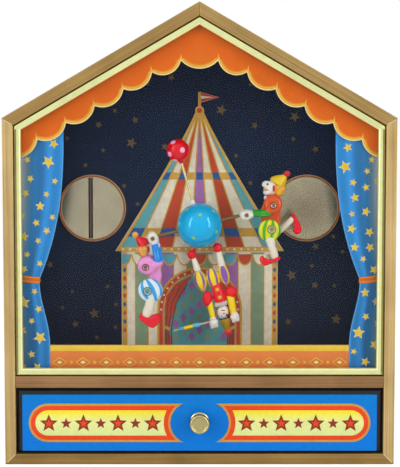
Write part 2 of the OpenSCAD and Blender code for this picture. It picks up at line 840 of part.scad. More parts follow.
module balloon() {
    color(red) difference() {
        seam_forward(at_depth(balloon_at, ball_y)) sphere(balloon_d / 2);
        rod(at_depth(polar(20, 92), ball_y),
            at_depth(polar(balloon_r - balloon_d / 2 + 2.6, 92), ball_y),
            bar_d / 2 + screw_fit, bar_d / 2 + screw_fit);
    }
}

// Side-view clowns

// Glove on the pin, bent arm and shoulder disc, with true bores for the pin and the rivet
module arm_plate(hand, elbow, shoulder, y0, y1) {
    difference() {
        slab(y0, y1) union() {
            translate(hand) circle(glove_r);
            stick(hand, elbow, limb_r);
            stick(elbow, shoulder, limb_r);
            translate(shoulder) circle(5);
        }
        peg(hand, bar_d / 2 + run_gap, y0 - 1, y1 + 1);
        peg(shoulder, rivet_r + run_gap, y0 - 1, y1 + 1);
    }
}

module clown_arms(hand, elbow, shoulder, tint) {
    color(tint) {
        arm_plate(hand, elbow, shoulder, near_y0, near_y1);
        arm_plate(hand, elbow, shoulder, far_y0, far_y1);
    }
}

// Torso, head, cone hat and pompon
head_r = 4.1;
torso_r = 4.4;
neck_r = 2.2;
pompon_r = 1.9;
module clown_body(shoulder, hip, head, pompon, tint) {
    reach = pompon - head;
    color(tint) difference() {
        union() {
            slab(mid_y0, mid_y1) union() {
                stick(shoulder, hip, torso_r);
                stick(shoulder, head, neck_r);
            }
            translate(at_depth(head, mid_y)) rotate([0, 90 - atan2(reach[1], reach[0]), 0]) {
                sphere(head_r);
                translate([0, 0, head_r / 2]) cylinder(h = norm(reach) - head_r / 2, r1 = 3.4, r2 = 0.9);
                translate([0, 0, norm(reach)]) sphere(pompon_r);
            }
        }
        for (p = [shoulder, hip]) peg(p, rivet_r + screw_fit, mid_y0 - 1, mid_y1 + 1);
    }
}

// Shoulder and hip rivets, headed outside the near and far limbs
module clown_rivets(shoulder, hip) {
    color(steel)
        for (p = [shoulder, hip]) {
            peg(p, rivet_r, near_y0 - 0.2, far_y1 + 0.1);
            peg(p, rivet_head_r, near_y0 - 0.9, near_y0 - 0.2);
        }
}

module clown_leg(hip, ankle, heel, toe, y0, y1, tint) {
    color(tint) difference() {
        slab(y0, y1) union() {
            translate(hip) circle(puff_r);
            stick(hip, ankle, limb_r);
            stick(heel, toe, shoe_r);
        }
        peg(hip, rivet_r + run_gap, y0 - 1, y1 + 1);
    }
}

module left_clown_arms() {
    clown_arms(left_pin, left_elbow, left_shoulder, sky);
}

module left_clown_body() {
    clown_body(left_shoulder, left_hip, left_head, left_pompon, [0.9, 0.45, 0.55]);
}

module left_clown_rivets() {
    clown_rivets(left_shoulder, left_hip);
}

module left_clown_near_leg() {
    clown_leg(left_hip, left_ankle, left_heel, left_toe, near_y0, near_y1, sky);
}

module left_clown_far_leg() {
    clown_leg(left_hip, left_ankle, left_heel, left_toe, far_y0, far_y1, sky);
}

module right_clown_arms() {
    clown_arms(right_pin, right_elbow, right_shoulder, [0.15, 0.6, 0.3]);
}

module right_clown_body() {
    clown_body(right_shoulder, right_hip, right_head, right_pompon, orange);
}

module right_clown_rivets() {
    clown_rivets(right_shoulder, right_hip);
}

module right_clown_near_leg() {
    clown_leg(right_hip, right_ankle, right_heel, right_toe, near_y0, near_y1, [0.85, 0.75, 0.2]);
}

module right_clown_far_leg() {
    clown_leg(right_hip, right_far_ankle, right_far_heel, right_far_toe, far_y0, far_y1,
        [0.85, 0.75, 0.2]);
}

// Tumbler: its local frame has X across, Y as in the case and Z away from the rotor axis
module tumbler_place() {
    translate([0, ball_y, rotor_z]) rotate([0, -tumbler_turn + 90, 0]) children();
}

// Legs pegged to the ball, each ending in a hip eye
hip_x = 4.8;
hip_pin_r = 1.2;
module tumbler_legs() {
    color(white) tumbler_place()
        for (x = [-1, 1])
            difference() {
                union() {
                    translate([x * tumbler_leg_x, 0, tumbler_peg_z])
                        cylinder(h = tumbler_sole + 1 - tumbler_peg_z, r = tumbler_pin_r);
                    translate([x * tumbler_leg_x, 0, tumbler_sole + 1.6]) sphere(2.6);
                    rod([x * tumbler_leg_x, 0, tumbler_sole + 2], [x * hip_x, 0, tumbler_hip], 1.9, 1.7);
                    translate([x * hip_x - 1.2, 0, tumbler_hip]) rotate([0, 90, 0])
                        cylinder(h = 2.4, r = 3);
                }
                translate([-9, 0, tumbler_hip]) rotate([0, 90, 0])
                    cylinder(h = 18, r = hip_pin_r + run_gap);
            }
}

// Body with the hip pin, shoulder pin, head, hat and pompon
waist_r = 2.2;
chest_r = 4;
face_r = 3.7;
hat_r = 3.1;
hat_tip_r = 0.9;
arm_disc_t = 3.2;
module tumbler_body() {
    hip_pin_l = 2 * hip_x + 2.8;
    across = 2 * tumbler_arm_x + arm_disc_t - 0.2;
    color(red) tumbler_place() {
        translate([-hip_pin_l / 2, 0, tumbler_hip]) rotate([0, 90, 0])
            cylinder(h = hip_pin_l, r = hip_pin_r);
        rod([0, 0, tumbler_hip - hip_pin_r], [0, 0, tumbler_head - face_r + 1], waist_r, chest_r);
        translate([-across / 2, 0, tumbler_shoulder]) rotate([0, 90, 0])
            cylinder(h = across, r = rivet_r);
        translate([0, 0, tumbler_head]) sphere(face_r);
        rod([0, 0, tumbler_head + 2], [0, 0, tumbler_pompon - hat_tip_r], hat_r, hat_tip_r);
        translate([0, 0, tumbler_pompon]) sphere(pompon_r);
    }
}

arm_disc_r = 3.3;
arm_rod_r = 1.5;
hand_r = 2.5;
module tumbler_arm(side) {
    tumbler_place() difference() {
        union() {
            translate([side * tumbler_arm_x - arm_disc_t / 2, 0, tumbler_shoulder]) rotate([0, 90, 0])
                cylinder(h = arm_disc_t, r = arm_disc_r);
            rod([side * tumbler_arm_x, 0, tumbler_shoulder + 1],
                [side * tumbler_hand_x, 0, tumbler_hand - 2], arm_rod_r, arm_rod_r);
            translate([side * tumbler_hand_x, 0, tumbler_hand]) sphere(hand_r);
        }
        translate([side * tumbler_arm_x - 4, 0, tumbler_shoulder]) rotate([0, 90, 0])
            cylinder(h = 8, r = rivet_r + run_gap);
        if (side > 0) baton_bar(baton_r + screw_fit);
    }
}

module tumbler_arm_left() {
    color([0.9, 0.8, 0.15]) tumbler_arm(1);
}

module tumbler_arm_right() {
    color([0.9, 0.8, 0.15]) tumbler_arm(-1);
}

baton_r = 0.9;
baton_back = 1.6;
baton_reach = 22.4;
module baton_bar(r) {
    grip = [tumbler_hand_x, 1.6, tumbler_hand - 0.6];
    rod(grip - [baton_back, 0, 0], grip + [baton_reach, 0, 0], r, r);
}

module baton() {
    color(sky) tumbler_place() baton_bar(baton_r);
}

// Drawer

drawer_z0 = base_t + drawer_gap / 2;
drawer_z1 = shelf_z0 - drawer_gap;
drawer_x = inner_x - drawer_gap;
drawer_y0 = front_y + 1.5;
drawer_y1 = drawer_y0 + drawer_front_t;
drawer_end_y = back_y0 - 2.5;
drawer_side_x = drawer_x - 0.8;
drawer_floor_z = drawer_z0 + 1;
plate_y0 = drawer_y0 - plate_t;
plate_z0 = drawer_z0 + drawer_bevel;
plate_w = 2 * (drawer_x - plate_side);
plate_h = drawer_z1 - plate_above - plate_z0;
plaque_end_x = plate_w / 2 - plaque_margin;
plaque_hollow_x = plaque_inner_x / 2;
plaque_hollow_r = norm([plaque_inner_x - plaque_hollow_x, plaque_h / 2]);
plate_mid_z = plate_z0 + plate_h / 2;
knob_z = plate_mid_z + 0.8;

// Front board with bevels on all four edges of its face
module drawer_front() {
    color(black) difference() {
        intersection() {
            translate([-drawer_x, 0, 0]) rotate([90, 0, 90]) linear_extrude(2 * drawer_x) polygon([
                [drawer_y1, drawer_z0], [drawer_y1, drawer_z1], [drawer_y0 + drawer_bevel, drawer_z1],
                [drawer_y0, drawer_z1 - drawer_bevel], [drawer_y0, drawer_z0 + drawer_bevel],
                [drawer_y0 + drawer_bevel, drawer_z0]
            ]);
            translate([0, 0, drawer_z0 - 1]) linear_extrude(drawer_z1 - drawer_z0 + 2) polygon([
                [-drawer_x, drawer_y1], [-drawer_x, drawer_y0 + drawer_bevel],
                [-drawer_x + drawer_bevel, drawer_y0], [drawer_x - drawer_bevel, drawer_y0],
                [drawer_x, drawer_y0 + drawer_bevel], [drawer_x, drawer_y1]
            ]);
        }
        peg([0, knob_z], screw_r + screw_fit, drawer_y0 - 1, drawer_y1 + 1);
    }
}

module drawer_plate() {
    color([0.05, 0.46, 0.88]) difference() {
        translate([-plate_w / 2, plate_y0, plate_z0]) cube([plate_w, plate_t, plate_h]);
        peg([0, knob_z], screw_r + screw_fit, plate_y0 - 1, drawer_y0 + 1);
    }
}

// Plaque outline: round outer end, inner end hollowed by an arc round the knob
module plaque_outline() {
    r = plaque_h / 2;
    difference() {
        union() {
            translate([plaque_hollow_x, -r]) square([plaque_end_x - r - plaque_hollow_x, plaque_h]);
            translate([plaque_end_x - r, 0]) circle(r);
        }
        translate([plaque_hollow_x, 0]) circle(plaque_hollow_r);
    }
}

module plaques() {
    color([0.93, 0.85, 0.3])
        for (side = [0, 1])
            mirror([side, 0, 0]) translate([0, 0, plate_mid_z])
                slab(plate_y0 - plaque_t, plate_y0) plaque_outline();
}

// Turned knob: foot, neck and a disc with a rounded rim
module drawer_knob() {
    r = knob_d / 2;
    color(brass) difference() {
        translate([0, plate_y0, knob_z]) rotate([90, 0, 0]) rotate_extrude() polygon([
            [0, 0], [r * 0.95, 0], [r * 0.95, 1], [r * 0.6, 1.8], [r * 0.55, knob_h - 5],
            [r * 0.92, knob_h - 4], [r, knob_h - 3.2], [r, knob_h - 0.6], [r - 0.6, knob_h], [0, knob_h]
        ]);
        peg([0, knob_z], screw_r + screw_fit, plate_y0 - knob_h + 2.5, plate_y0 + 1);
    }
}

module knob_screw() {
    color(steel) {
        peg([0, knob_z], screw_r, plate_y0 - knob_h + 3, drawer_y1);
        peg([0, knob_z], screw_head_r, drawer_y1, drawer_y1 + 1.6);
    }
}

module drawer_side_right() {
    color(wood)
        translate([drawer_side_x - drawer_wall, drawer_y1, drawer_z0])
            cube([drawer_wall, drawer_end_y - drawer_y1, drawer_side_h]);
}

module drawer_side_left() {
    color(wood)
        translate([-drawer_side_x, drawer_y1, drawer_z0])
            cube([drawer_wall, drawer_end_y - drawer_y1, drawer_side_h]);
}

module drawer_back() {
    half = drawer_side_x - drawer_wall;
    color(wood)
        translate([-half, drawer_end_y - drawer_wall, drawer_z0])
            cube([2 * half, drawer_wall, drawer_side_h]);
}

module drawer_bottom() {
    half = drawer_side_x - drawer_wall;
    color(wood)
        translate([-half, drawer_y1, drawer_floor_z])
            cube([2 * half, drawer_end_y - drawer_wall - drawer_y1, drawer_floor_t]);
}

side_panel_left();
side_panel_right();
roof_panel_left();
roof_panel_right();
base_board();
middle_shelf();
back_panel();
case_cleats();
back_panel_screws();
window_bezel();
window_pane();
valance_card();
curtain_card_left();
curtain_card_right();
apron_card();
backdrop_board();
facade_panel();
mirror_discs();
mirror_rims();
shaft_bush();
bedplate();
movement_screws();
rear_bridge();
music_comb();
spring_barrel();
rotor_shaft();
ball();
cross_bar();
pin_caps();
balloon_stick();
balloon();
tumbler_legs();
tune_cylinder();
governor_fly();
spring_arbor();
winding_key();
stop_slider();
drawer_front();
drawer_plate();
plaques();
drawer_knob();
knob_screw();
drawer_side_left();
drawer_side_right();
drawer_back();
drawer_bottom();
left_clown_arms();
left_clown_body();
left_clown_rivets();
left_clown_near_leg();
left_clown_far_leg();
right_clown_arms();
right_clown_body();
right_clown_rivets();
right_clown_near_leg();
right_clown_far_leg();
tumbler_body();
tumbler_arm_left();
tumbler_arm_right();
baton();
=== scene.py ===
import math
import random

import bmesh
import bpy
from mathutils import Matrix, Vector


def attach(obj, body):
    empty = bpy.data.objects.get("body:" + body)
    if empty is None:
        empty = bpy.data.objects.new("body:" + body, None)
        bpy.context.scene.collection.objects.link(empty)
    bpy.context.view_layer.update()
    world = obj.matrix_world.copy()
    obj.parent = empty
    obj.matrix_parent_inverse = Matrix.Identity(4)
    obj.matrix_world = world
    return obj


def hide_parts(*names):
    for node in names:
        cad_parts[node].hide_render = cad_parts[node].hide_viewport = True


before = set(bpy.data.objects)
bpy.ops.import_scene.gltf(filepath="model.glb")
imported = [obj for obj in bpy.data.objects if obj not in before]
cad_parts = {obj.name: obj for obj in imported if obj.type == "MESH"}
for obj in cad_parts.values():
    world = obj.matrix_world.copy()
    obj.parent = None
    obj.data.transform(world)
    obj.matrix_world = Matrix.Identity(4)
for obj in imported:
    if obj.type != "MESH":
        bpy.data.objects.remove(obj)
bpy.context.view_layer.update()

MM = 0.001
SEED = 7

# Case sizes in millimetres, as in the CAD model; the front faces -Y
INNER_X, CASE_H, SHELF_TOP, FRONT_Y = 102.0, 255.0, 49.6, -42.0
ROOF_T, ROOF_M = 6.6, 63.0 / 108.0
ROOF_K = math.sqrt(1 + ROOF_M ** 2)
BALL, BALL_R = (0.0, -20.0, 131.6), 12.7
PRINT_T = 0.1  # thickness of one layer of print


def roof_z(x, drop):
    """Height at x of the roof's slope, drop below its top and square to it."""
    return CASE_H - drop * ROOF_K - abs(x) * ROOF_M


def house(inset):
    """Outline of the window opening, drawn in by inset."""
    w, b, d = INNER_X - inset, SHELF_TOP + inset, ROOF_T + inset
    return [(-w, b), (w, b), (w, roof_z(w, d)), (0, roof_z(0, d)), (-w, roof_z(w, d))]


# Materials

def rgb(colour):
    """Linear colour from a hex code, a grey level or a list."""
    if isinstance(colour, str):
        parts = [int(colour[i:i + 2], 16) / 255 for i in (1, 3, 5)]
        return [c / 12.92 if c <= 0.04045 else ((c + 0.055) / 1.055) ** 2.4 for c in parts] + [1.0]
    return colour if isinstance(colour, list) else [colour] * 3 + [1.0]


class Shader:
    """A material with a Principled shader, and short calls for its nodes."""

    def __init__(self, name):
        self.material = bpy.data.materials.new(name)
        self.material.use_nodes = True
        self.tree = self.material.node_tree
        self.bsdf = self.tree.nodes["Principled BSDF"]
        self.at = self.node("ShaderNodeTexCoord").outputs["Object"]

    def feed(self, socket, value):
        if isinstance(value, bpy.types.NodeSocket):
            self.tree.links.new(value, socket)
        else:
            socket.default_value = value

    def node(self, kind, **inputs):
        """A node; an underscore in an input's name stands for a space."""
        made = self.tree.nodes.new(kind)
        for key, value in inputs.items():
            self.feed(made.inputs[key.replace("_", " ")], value)
        return made

    def set(self, **values):
        for key, value in values.items():
            self.feed(self.bsdf.inputs[key.replace("_", " ")], value)

    def math(self, operation, *values):
        made = self.tree.nodes.new("ShaderNodeMath")
        made.operation = operation
        for socket, value in zip(made.inputs, values):
            self.feed(socket, value)
        return made.outputs[0]

    def split(self, vector):
        return self.node("ShaderNodeSeparateXYZ", Vector=vector).outputs

    def moved(self, scale, turn=0.0):
        """Coordinates turned about Y, then scaled."""
        turned = self.node("ShaderNodeMapping", Vector=self.at, Rotation=(0, turn, 0))
        return self.node("ShaderNodeMapping", Vector=turned.outputs[0], Scale=scale).outputs[0]

    def noise(self, vector, scale, detail=3.0, roughness=0.55):
        made = self.node("ShaderNodeTexNoise", Vector=vector, Scale=scale, Detail=detail, Roughness=roughness)
        return made.outputs["Fac"]

    def ramp(self, fac, stops):
        made = self.node("ShaderNodeValToRGB", Fac=fac)
        elements = made.color_ramp.elements
        while len(elements) < len(stops):
            elements.new(0.5)
        for element, (place, colour) in zip(elements, stops):
            element.position = place
            element.color = rgb(colour)
        return made.outputs["Color"]

    def span(self, fac, start, end, low=0.0, high=1.0):
        """Maps start to low and end to high."""
        made = self.node("ShaderNodeMapRange", Value=fac, From_Min=start, From_Max=end,
                         To_Min=low, To_Max=high)
        return made.outputs["Result"]

    def mix(self, fac, a, b, blend="MULTIPLY"):
        made = self.tree.nodes.new("ShaderNodeMix")
        made.data_type = "RGBA"
        made.blend_type = blend
        for key, value in ((0, fac), (6, a), (7, b)):
            self.feed(made.inputs[key], value)
        return made.outputs[2]

    def bump(self, height, strength, distance):
        made = self.node("ShaderNodeBump", Height=height, Strength=strength, Distance=distance)
        self.feed(self.bsdf.inputs["Normal"], made.outputs["Normal"])


BROAD_SHARE, FINE_MIX = 0.13, 0.55


def surface(name, colour, rough=0.4, metal=0.0, vary=0.1, grain=500.0, bump=0.1, depth=0.1, coat=0.0,
            stretch=(1, 1, 1), wear=0.08, gloss=0.14, tint=None):
    """Colour or pattern with mottling, uneven gloss and fine relief; grain counts noise cells per metre."""
    s = Shader(name)
    where = s.moved(stretch)
    fine = s.noise(where, grain, 4.0)
    broad = s.noise(where, grain * BROAD_SHARE, 2.0)
    base = colour(s) if callable(colour) else rgb(colour)
    cloud = s.math("MULTIPLY_ADD", fine, FINE_MIX, s.math("MULTIPLY", broad, 1 - FINE_MIX))
    shade = s.ramp(cloud, [(0.32, 1 - 2 * vary), (0.68, 1.0)])
    s.set(Base_Color=s.mix(1.0, base, shade), Metallic=metal, Specular_IOR_Level=0.5 if metal else gloss,
          Roughness=s.span(broad, 0.3, 0.7, rough - wear, rough + wear))
    if coat:
        s.set(Coat_Weight=coat, Coat_Roughness=0.08)
    if tint:
        s.set(Specular_Tint=rgb(tint))
    s.bump(fine, bump, depth * MM)
    return s.material


def ink(name, colour, vary=0.1, grain=500, bump=0.05, rough=0.42, depth=0.1):
    """Printing ink on card."""
    return surface(name, colour, rough, vary=vary, grain=grain, bump=bump, depth=depth)


def paint(name, colour, rough=0.28, coat=0.12, gloss=0.22, wear=0.05, tint=None):
    """Glossy paint on the moving pieces."""
    return surface(name, colour, rough, vary=0.06, grain=260, bump=0.05, depth=0.06, coat=coat, wear=wear,
                   gloss=gloss, tint=tint)


# Outlines: closed lists of XZ points

def offset(points, amount):
    """A closed outline drawn in by amount along its vertex normals."""
    area = sum(a[0] * b[1] - b[0] * a[1] for a, b in zip(points, points[1:] + points[:1]))
    sign = 1 if area > 0 else -1
    out = []
    for i, p in enumerate(points):
        a, q, b = Vector(points[i - 1]), Vector(p), Vector(points[(i + 1) % len(points)])
        into, away = (q - a).normalized(), (b - q).normalized()
        n = Vector((-into.y, into.x)) + Vector((-away.y, away.x))
        scale = 2 / max(n.length_squared, 0.9)
        out.append((p[0] + sign * n.x * scale * amount, p[1] + sign * n.y * scale * amount))
    return out


def arc(cx, cz, r, start, end, count=12, rz=None):
    """Points of an arc in degrees, counted from +X towards +Z."""
    steps = [math.radians(start + (end - start) * i / count) for i in range(count + 1)]
    return [(cx + r * math.cos(a), cz + (rz or r) * math.sin(a)) for a in steps]


def disc(cx, cz, r, count):
    return arc(cx, cz, r, 0, 360 - 360 / count, count - 1)


def star(cx, cz, r, turn=0.0, inner=0.45):
    """Five-pointed star; inner is the share of r at its notches."""
    out = []
    for i in range(10):
        a = math.radians(90 + turn + 36 * i)
        d = r * inner if i % 2 else r
        out.append((cx + d * math.cos(a), cz + d * math.sin(a)))
    return out


def box(x0, z0, x1, z1):
    return [(x0, z0), (x1, z0), (x1, z1), (x0, z1)]


def lozenge(x, z, w, h):
    """Lozenge of half width w and half height h."""
    return [(x - w, z), (x, z - h), (x + w, z), (x, z + h)]


def ribbon(points, width):
    """Band of a given width along an open line."""
    out, back = [], []
    for i, p in enumerate(points):
        a, b = Vector(points[max(i - 1, 0)]), Vector(points[min(i + 1, len(points) - 1)])
        n = (b - a).normalized() * width / 2
        out.append((p[0] - n.y, p[1] + n.x))
        back.append((p[0] + n.y, p[1] - n.x))
    return out + back[::-1]


def mirrored(points, side):
    return [(side * x, z) for x, z in points]


# Mesh building

TIP_R = 0.002  # radius at the end of a turned point


def turns(count):
    return [2 * math.pi * i / count for i in range(count)]


def axes(axis):
    """Unit vectors along an axis and across it."""
    up = Vector(axis).normalized()
    side = up.orthogonal().normalized()
    return up, side, up.cross(side)


def cap(end, inner):
    """Two smaller rings that round off the end of a tube."""
    p, r, t = end
    out = (p - inner[0]).normalized()
    return [(p + out * lift * r, r * share, t * share) for lift, share in ((0.55, 0.84), (0.88, 0.5))]


def place(mesh, name, body, slot, nodes):
    """Makes the object, rides it on its body and hides the CAD nodes it stands for."""
    made = bpy.data.objects.new(name, mesh)
    bpy.context.scene.collection.objects.link(made)
    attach(made, body)
    if nodes:
        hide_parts(*nodes)


class Piece:
    """Closed shapes with their materials, collected into one mesh; lengths in millimetres."""

    def __init__(self, name):
        self.name = name
        self.bm = bmesh.new()
        self.materials = []

    def skin(self, rings, material, loop=False):
        """Joins rings of points with quads; the ends are capped unless the rings form a loop."""
        if material not in self.materials:
            self.materials.append(material)
        made = [[self.bm.verts.new(p) for p in ring] for ring in rings]
        faces = [] if loop else [made[0][::-1], made[-1]]
        for a, b in zip(made, (made[1:] + made[:1]) if loop else made[1:]):
            faces += [[a[i - 1], a[i], b[i], b[i - 1]] for i in range(len(a))]
        for verts in faces:
            f = self.bm.faces.new(verts)
            f.material_index = self.materials.index(material)
            f.smooth = True

    def plate(self, outline, y0, y1, material, edge=0.0):
        """A flat piece between depths y0 (front) and y1; its front edge is rounded where edge is given."""
        rings = [[(x, y1, z) for x, z in outline]]
        for share, rise in ((0, 1.0), (0.3, 0.3), (1.0, 0)) if edge else ((0, 0),):
            rings.append([(x, y0 + edge * rise, z) for x, z in offset(outline, edge * share)])
        self.skin(rings, material)

    def printed(self, outline, y, level, material, edge=0.0):
        """A shape that stands level layers of print in front of depth y."""
        self.plate(outline, y - level * PRINT_T, y, material, edge)

    def lathe(self, profile, centre, material, axis=(0, -1, 0), count=40):
        """Turned shape: profile of (radius, height along axis) from centre."""
        up, side, over = axes(axis)
        self.skin([[Vector(centre) + up * h + (side * math.cos(a) + over * math.sin(a)) * max(r, TIP_R)
                    for a in turns(count)] for r, h in profile], material)

    def hoop(self, section, centre, material, axis=(0, -1, 0), count=48, wobble=lambda a: (1, 0)):
        """Closed ring: section of (radius, height) points; wobble gives a scale and a lift at each angle."""
        up, side, over = axes(axis)
        rings = []
        for a in turns(count):
            out = side * math.cos(a) + over * math.sin(a)
            scale, lift = wobble(a)
            rings.append([Vector(centre) + out * r * scale + up * (h + lift) for r, h in section])
        self.skin(rings, material, loop=True)

    def egg(self, centre, radii, material, count=20):
        """Ellipsoid."""
        rx, ry, rz = radii
        half = count // 2
        rings = []
        for t in (math.pi * j / half for j in range(1, half)):
            wide, h = math.sin(t), rz * math.cos(t)
            rings.append([Vector(centre) + Vector((rx * wide * math.cos(a), ry * wide * math.sin(a), h))
                          for a in turns(count)])
        self.skin(rings, material)

    def tube(self, path, sizes, material, count=18, flat=None, round_ends=True):
        """Tapered tube through points; flat gives its half thickness in Y where that isn't its radius."""
        rows = [(Vector(p), r, t) for p, r, t in zip(path, sizes, flat or sizes)]
        if round_ends:
            rows = cap(rows[0], rows[1])[::-1] + rows + cap(rows[-1], rows[-2])
        rings, side = [], None
        for k, (p, r, t) in enumerate(rows):
            ahead = (rows[min(k + 1, len(rows) - 1)][0] - rows[max(k - 1, 0)][0]).normalized()
            if side is None:
                side = Vector((0, 1, 0)) if abs(ahead.y) < 0.9 else Vector((1, 0, 0))
            side = (side - ahead * side.dot(ahead)).normalized()
            over = ahead.cross(side)
            rings.append([p + side * t * math.sin(a) + over * r * math.cos(a) for a in turns(count)])
        self.skin(rings, material)

    def done(self, body, slot, *nodes, sharp=38.0):
        """Finishes the mesh and places it."""
        bmesh.ops.recalc_face_normals(self.bm, faces=self.bm.faces)
        bmesh.ops.scale(self.bm, vec=(MM, MM, MM), verts=self.bm.verts)
        mesh = bpy.data.meshes.new(self.name)
        self.bm.to_mesh(mesh)
        self.bm.free()
        for material in self.materials:
            mesh.materials.append(material)
        mesh.set_sharp_from_angle(angle=math.radians(sharp))
        place(mesh, self.name, body, slot, nodes)


WELD = 1e-6
FLAT_ANGLE, CORNER_ANGLE, SHARP_ANGLE = math.radians(1), math.radians(25), math.radians(50)


def dressed(node, body, slot, material, bevel=0.35):
    """Copy of a CAD node with softened edges, which stands for it."""
    bm = bmesh.new()
    bm.from_mesh(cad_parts[node].data)
    bmesh.ops.remove_doubles(bm, verts=bm.verts, dist=WELD)
    bmesh.ops.dissolve_limit(bm, angle_limit=FLAT_ANGLE, verts=bm.verts, edges=bm.edges)
    edges = [e for e in bm.edges if e.is_manifold and e.calc_face_angle(0) > CORNER_ANGLE]
    bmesh.ops.bevel(bm, geom=edges, offset=bevel * MM, segments=3, profile=0.5, affect="EDGES",
                    clamp_overlap=True)
    for f in bm.faces:
        f.smooth = True
        f.material_index = 0
    mesh = bpy.data.meshes.new(node + "_shape")
    bm.to_mesh(mesh)
    bm.free()
    mesh.materials.append(material)
    mesh.set_sharp_from_angle(angle=SHARP_ANGLE)
    place(mesh, node + "_shape", body, slot, [node])


def dress(material, *nodes):
    """Gives CAD nodes whose shape is right a better material."""
    for node in nodes:
        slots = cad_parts[node].data.materials
        if not slots:
            slots.append(material)
        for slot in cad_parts[node].material_slots:
            slot.link = "OBJECT"
            slot.material = material


# Case boards: foil-wrapped, brushed along each board

def foil(name, light, dark, turn):
    """Brushed foil; streaks run along X turned by an angle about Y."""
    s = Shader(name)
    streak = s.noise(s.moved((9, 900, 900), turn), 1.0, 5.0, 0.7)
    cloud = s.noise(s.at, 26.0, 3.0)
    blend = s.math("MULTIPLY_ADD", cloud, 0.4, s.math("MULTIPLY", streak, 0.6))
    s.set(Base_Color=s.ramp(blend, [(0.33, dark), (0.69, light)]), Metallic=0.55,
          Roughness=s.span(streak, 0.3, 0.7, 0.29, 0.48), Anisotropic=0.4)
    s.bump(streak, 0.16, 0.05 * MM)
    return s.material


ROOF_TURN = math.atan(ROOF_M)
# One foil with lighter or darker tones on each board: painted light and shade for how the light falls on each
# board's brushing
for name, light, shaded, turn, boards in (
        ("foil_upright", "#CDB27C", "#94763F", math.pi / 2, ("side_panel_left", "side_panel_right")),
        ("foil_roof_left", "#A4844C", "#705424", ROOF_TURN, ("roof_panel_left",)),
        ("foil_roof_right", "#B4955C", "#7C602E", -ROOF_TURN, ("roof_panel_right",)),
        ("foil_base", "#9C7D42", "#644A1C", 0.0, ("base_board",)),
        ("foil_rail", "#9C754A", "#684826", 0.0, ("middle_shelf",))):
    wrap = foil(name, light, shaded, turn)
    for board in boards:
        dressed(board, "case", "gold_wrap", wrap, 0.4)

# Pale lines along the mitres: painted glint of the bevelled joints, and worn foil
MITRES = ((106.8, 1.2), (102.3, 5.7)), ((107.0, 191.0), (102.5, 188.4))
MITRE_W = 0.44
mitre = Piece("mitre_lines")
mitre_glint_and_wear = surface("mitre_glint_and_wear", "#DCC898", 0.4, 0.3)
for side in (-1, 1):
    for line in MITRES:
        mitre.plate(ribbon(mirrored(line, side), MITRE_W), FRONT_Y - 0.03, FRONT_Y + 0.4, mitre_glint_and_wear)
mitre.done("case", "gold_wrap")

# Back of the case and the movement

hardboard = surface("hardboard", "#7A5637", 0.62, vary=0.22, grain=900, bump=0.35, depth=0.12,
                    stretch=(1, 1, 0.35))
pine = surface("pine", "#C9A26B", 0.55, vary=0.2, grain=420, bump=0.2, stretch=(0.06, 1, 1))
steel = surface("steel", "#B4B6B8", 0.28, 1.0, grain=700, bump=0.06, depth=0.03)
zinc = surface("zinc", "#8E9092", 0.5, 0.8, vary=0.16, bump=0.3)
brass = surface("brass", "#D9B867", 0.22, 1.0, grain=350, bump=0.05, depth=0.03)
# Near black: the dark seam on the left mirror, and painted shade in the screws' cross recesses
dark = surface("dark_seam_and_recess_shade", "#2A1F14", 0.6, vary=0.15, grain=700)

dressed("back_panel", "case", "hardboard", hardboard, 0.25)
dress(pine, "case_cleats", "drawer_side_left", "drawer_side_right", "drawer_back", "drawer_bottom")
dress(zinc, "bedplate", "rear_bridge")
dress(steel, "movement_screws", "music_comb", "rotor_shaft", "governor_fly", "spring_arbor", "knob_screw")
dress(brass, "shaft_bush", "spring_barrel", "tune_cylinder")
dressed("stop_slider", "stop", "steel", steel, 0.2)
dressed("winding_key", "key", "bezel_gold", brass, 0.45)

# Window: mitred bright bezel with an inner lip, and a clear pane behind it

BEZEL_Y0, BEZEL_Y1, PANE_Y1, PANE_EDGE = -41.2, -38.2, -36.45, 0.3
MOULDING = ((0.65, 3.0), (0.65, 0.35), (0.85, 0.08), (1.2, 0), (3.0, 0), (3.3, 0.12), (3.4, 3.0))
LIP = ((3.2, 3.0), (3.2, 0.1), (3.6, 0.3), (3.95, 0.7), (4.1, 1.2), (4.1, 3.0))
bezel_gold = surface("bezel_gold", "#D2D694", 0.4, 0.5, vary=0.08, grain=260, bump=0.06, depth=0.04)
# Darker olive gold: painted shade on the bezel's upright sides
bezel_side_shade = surface("bezel_side_shade", "#8E7E42", 0.3, 0.6, vary=0.12, grain=260, bump=0.08, depth=0.05)
lip_gold = surface("bezel_lip", "#ECE6AE", 0.4, 0.4, vary=0.06, grain=260, bump=0.05, depth=0.03)
bezel = Piece("window_bezel_moulding")
for section, gold in ((MOULDING, bezel_gold), (LIP, lip_gold)):
    bezel.skin([[(x, BEZEL_Y0 + y, z) for x, z in house(inset)] for inset, y in section], gold, loop=True)
# On the upright sides only, a darker strip on the front paints the shade of the moulding's outer slope
for side in (-1, 1):
    far, near = INNER_X - 0.75, INNER_X - 1.75
    foot, top = SHELF_TOP + 1.2, roof_z(INNER_X, ROOF_T + 1.6)
    strip = mirrored([(far, foot), (near, foot), (near, top), (far, top - 0.4)], side)
    bezel.plate(strip, BEZEL_Y0 - 0.04, BEZEL_Y1, bezel_side_shade)
bezel.done("case", "bezel_gold", "window_bezel", sharp=24)

clear = Shader("clear_acrylic")
haze = clear.noise(clear.at, 60.0)
clear.set(Base_Color=(0.03, 0.035, 0.04, 1), Roughness=clear.span(haze, 0, 1, 0.02, 0.07), Alpha=0.05,
          IOR=1.49)
pane = Piece("window_pane_sheet")
pane.plate(house(PANE_EDGE), BEZEL_Y1, PANE_Y1, clear.material, 0.15)
pane.done("case", "pane", "window_pane")

# Valance: printed card with scallops, edged by arcs that meet in small flames

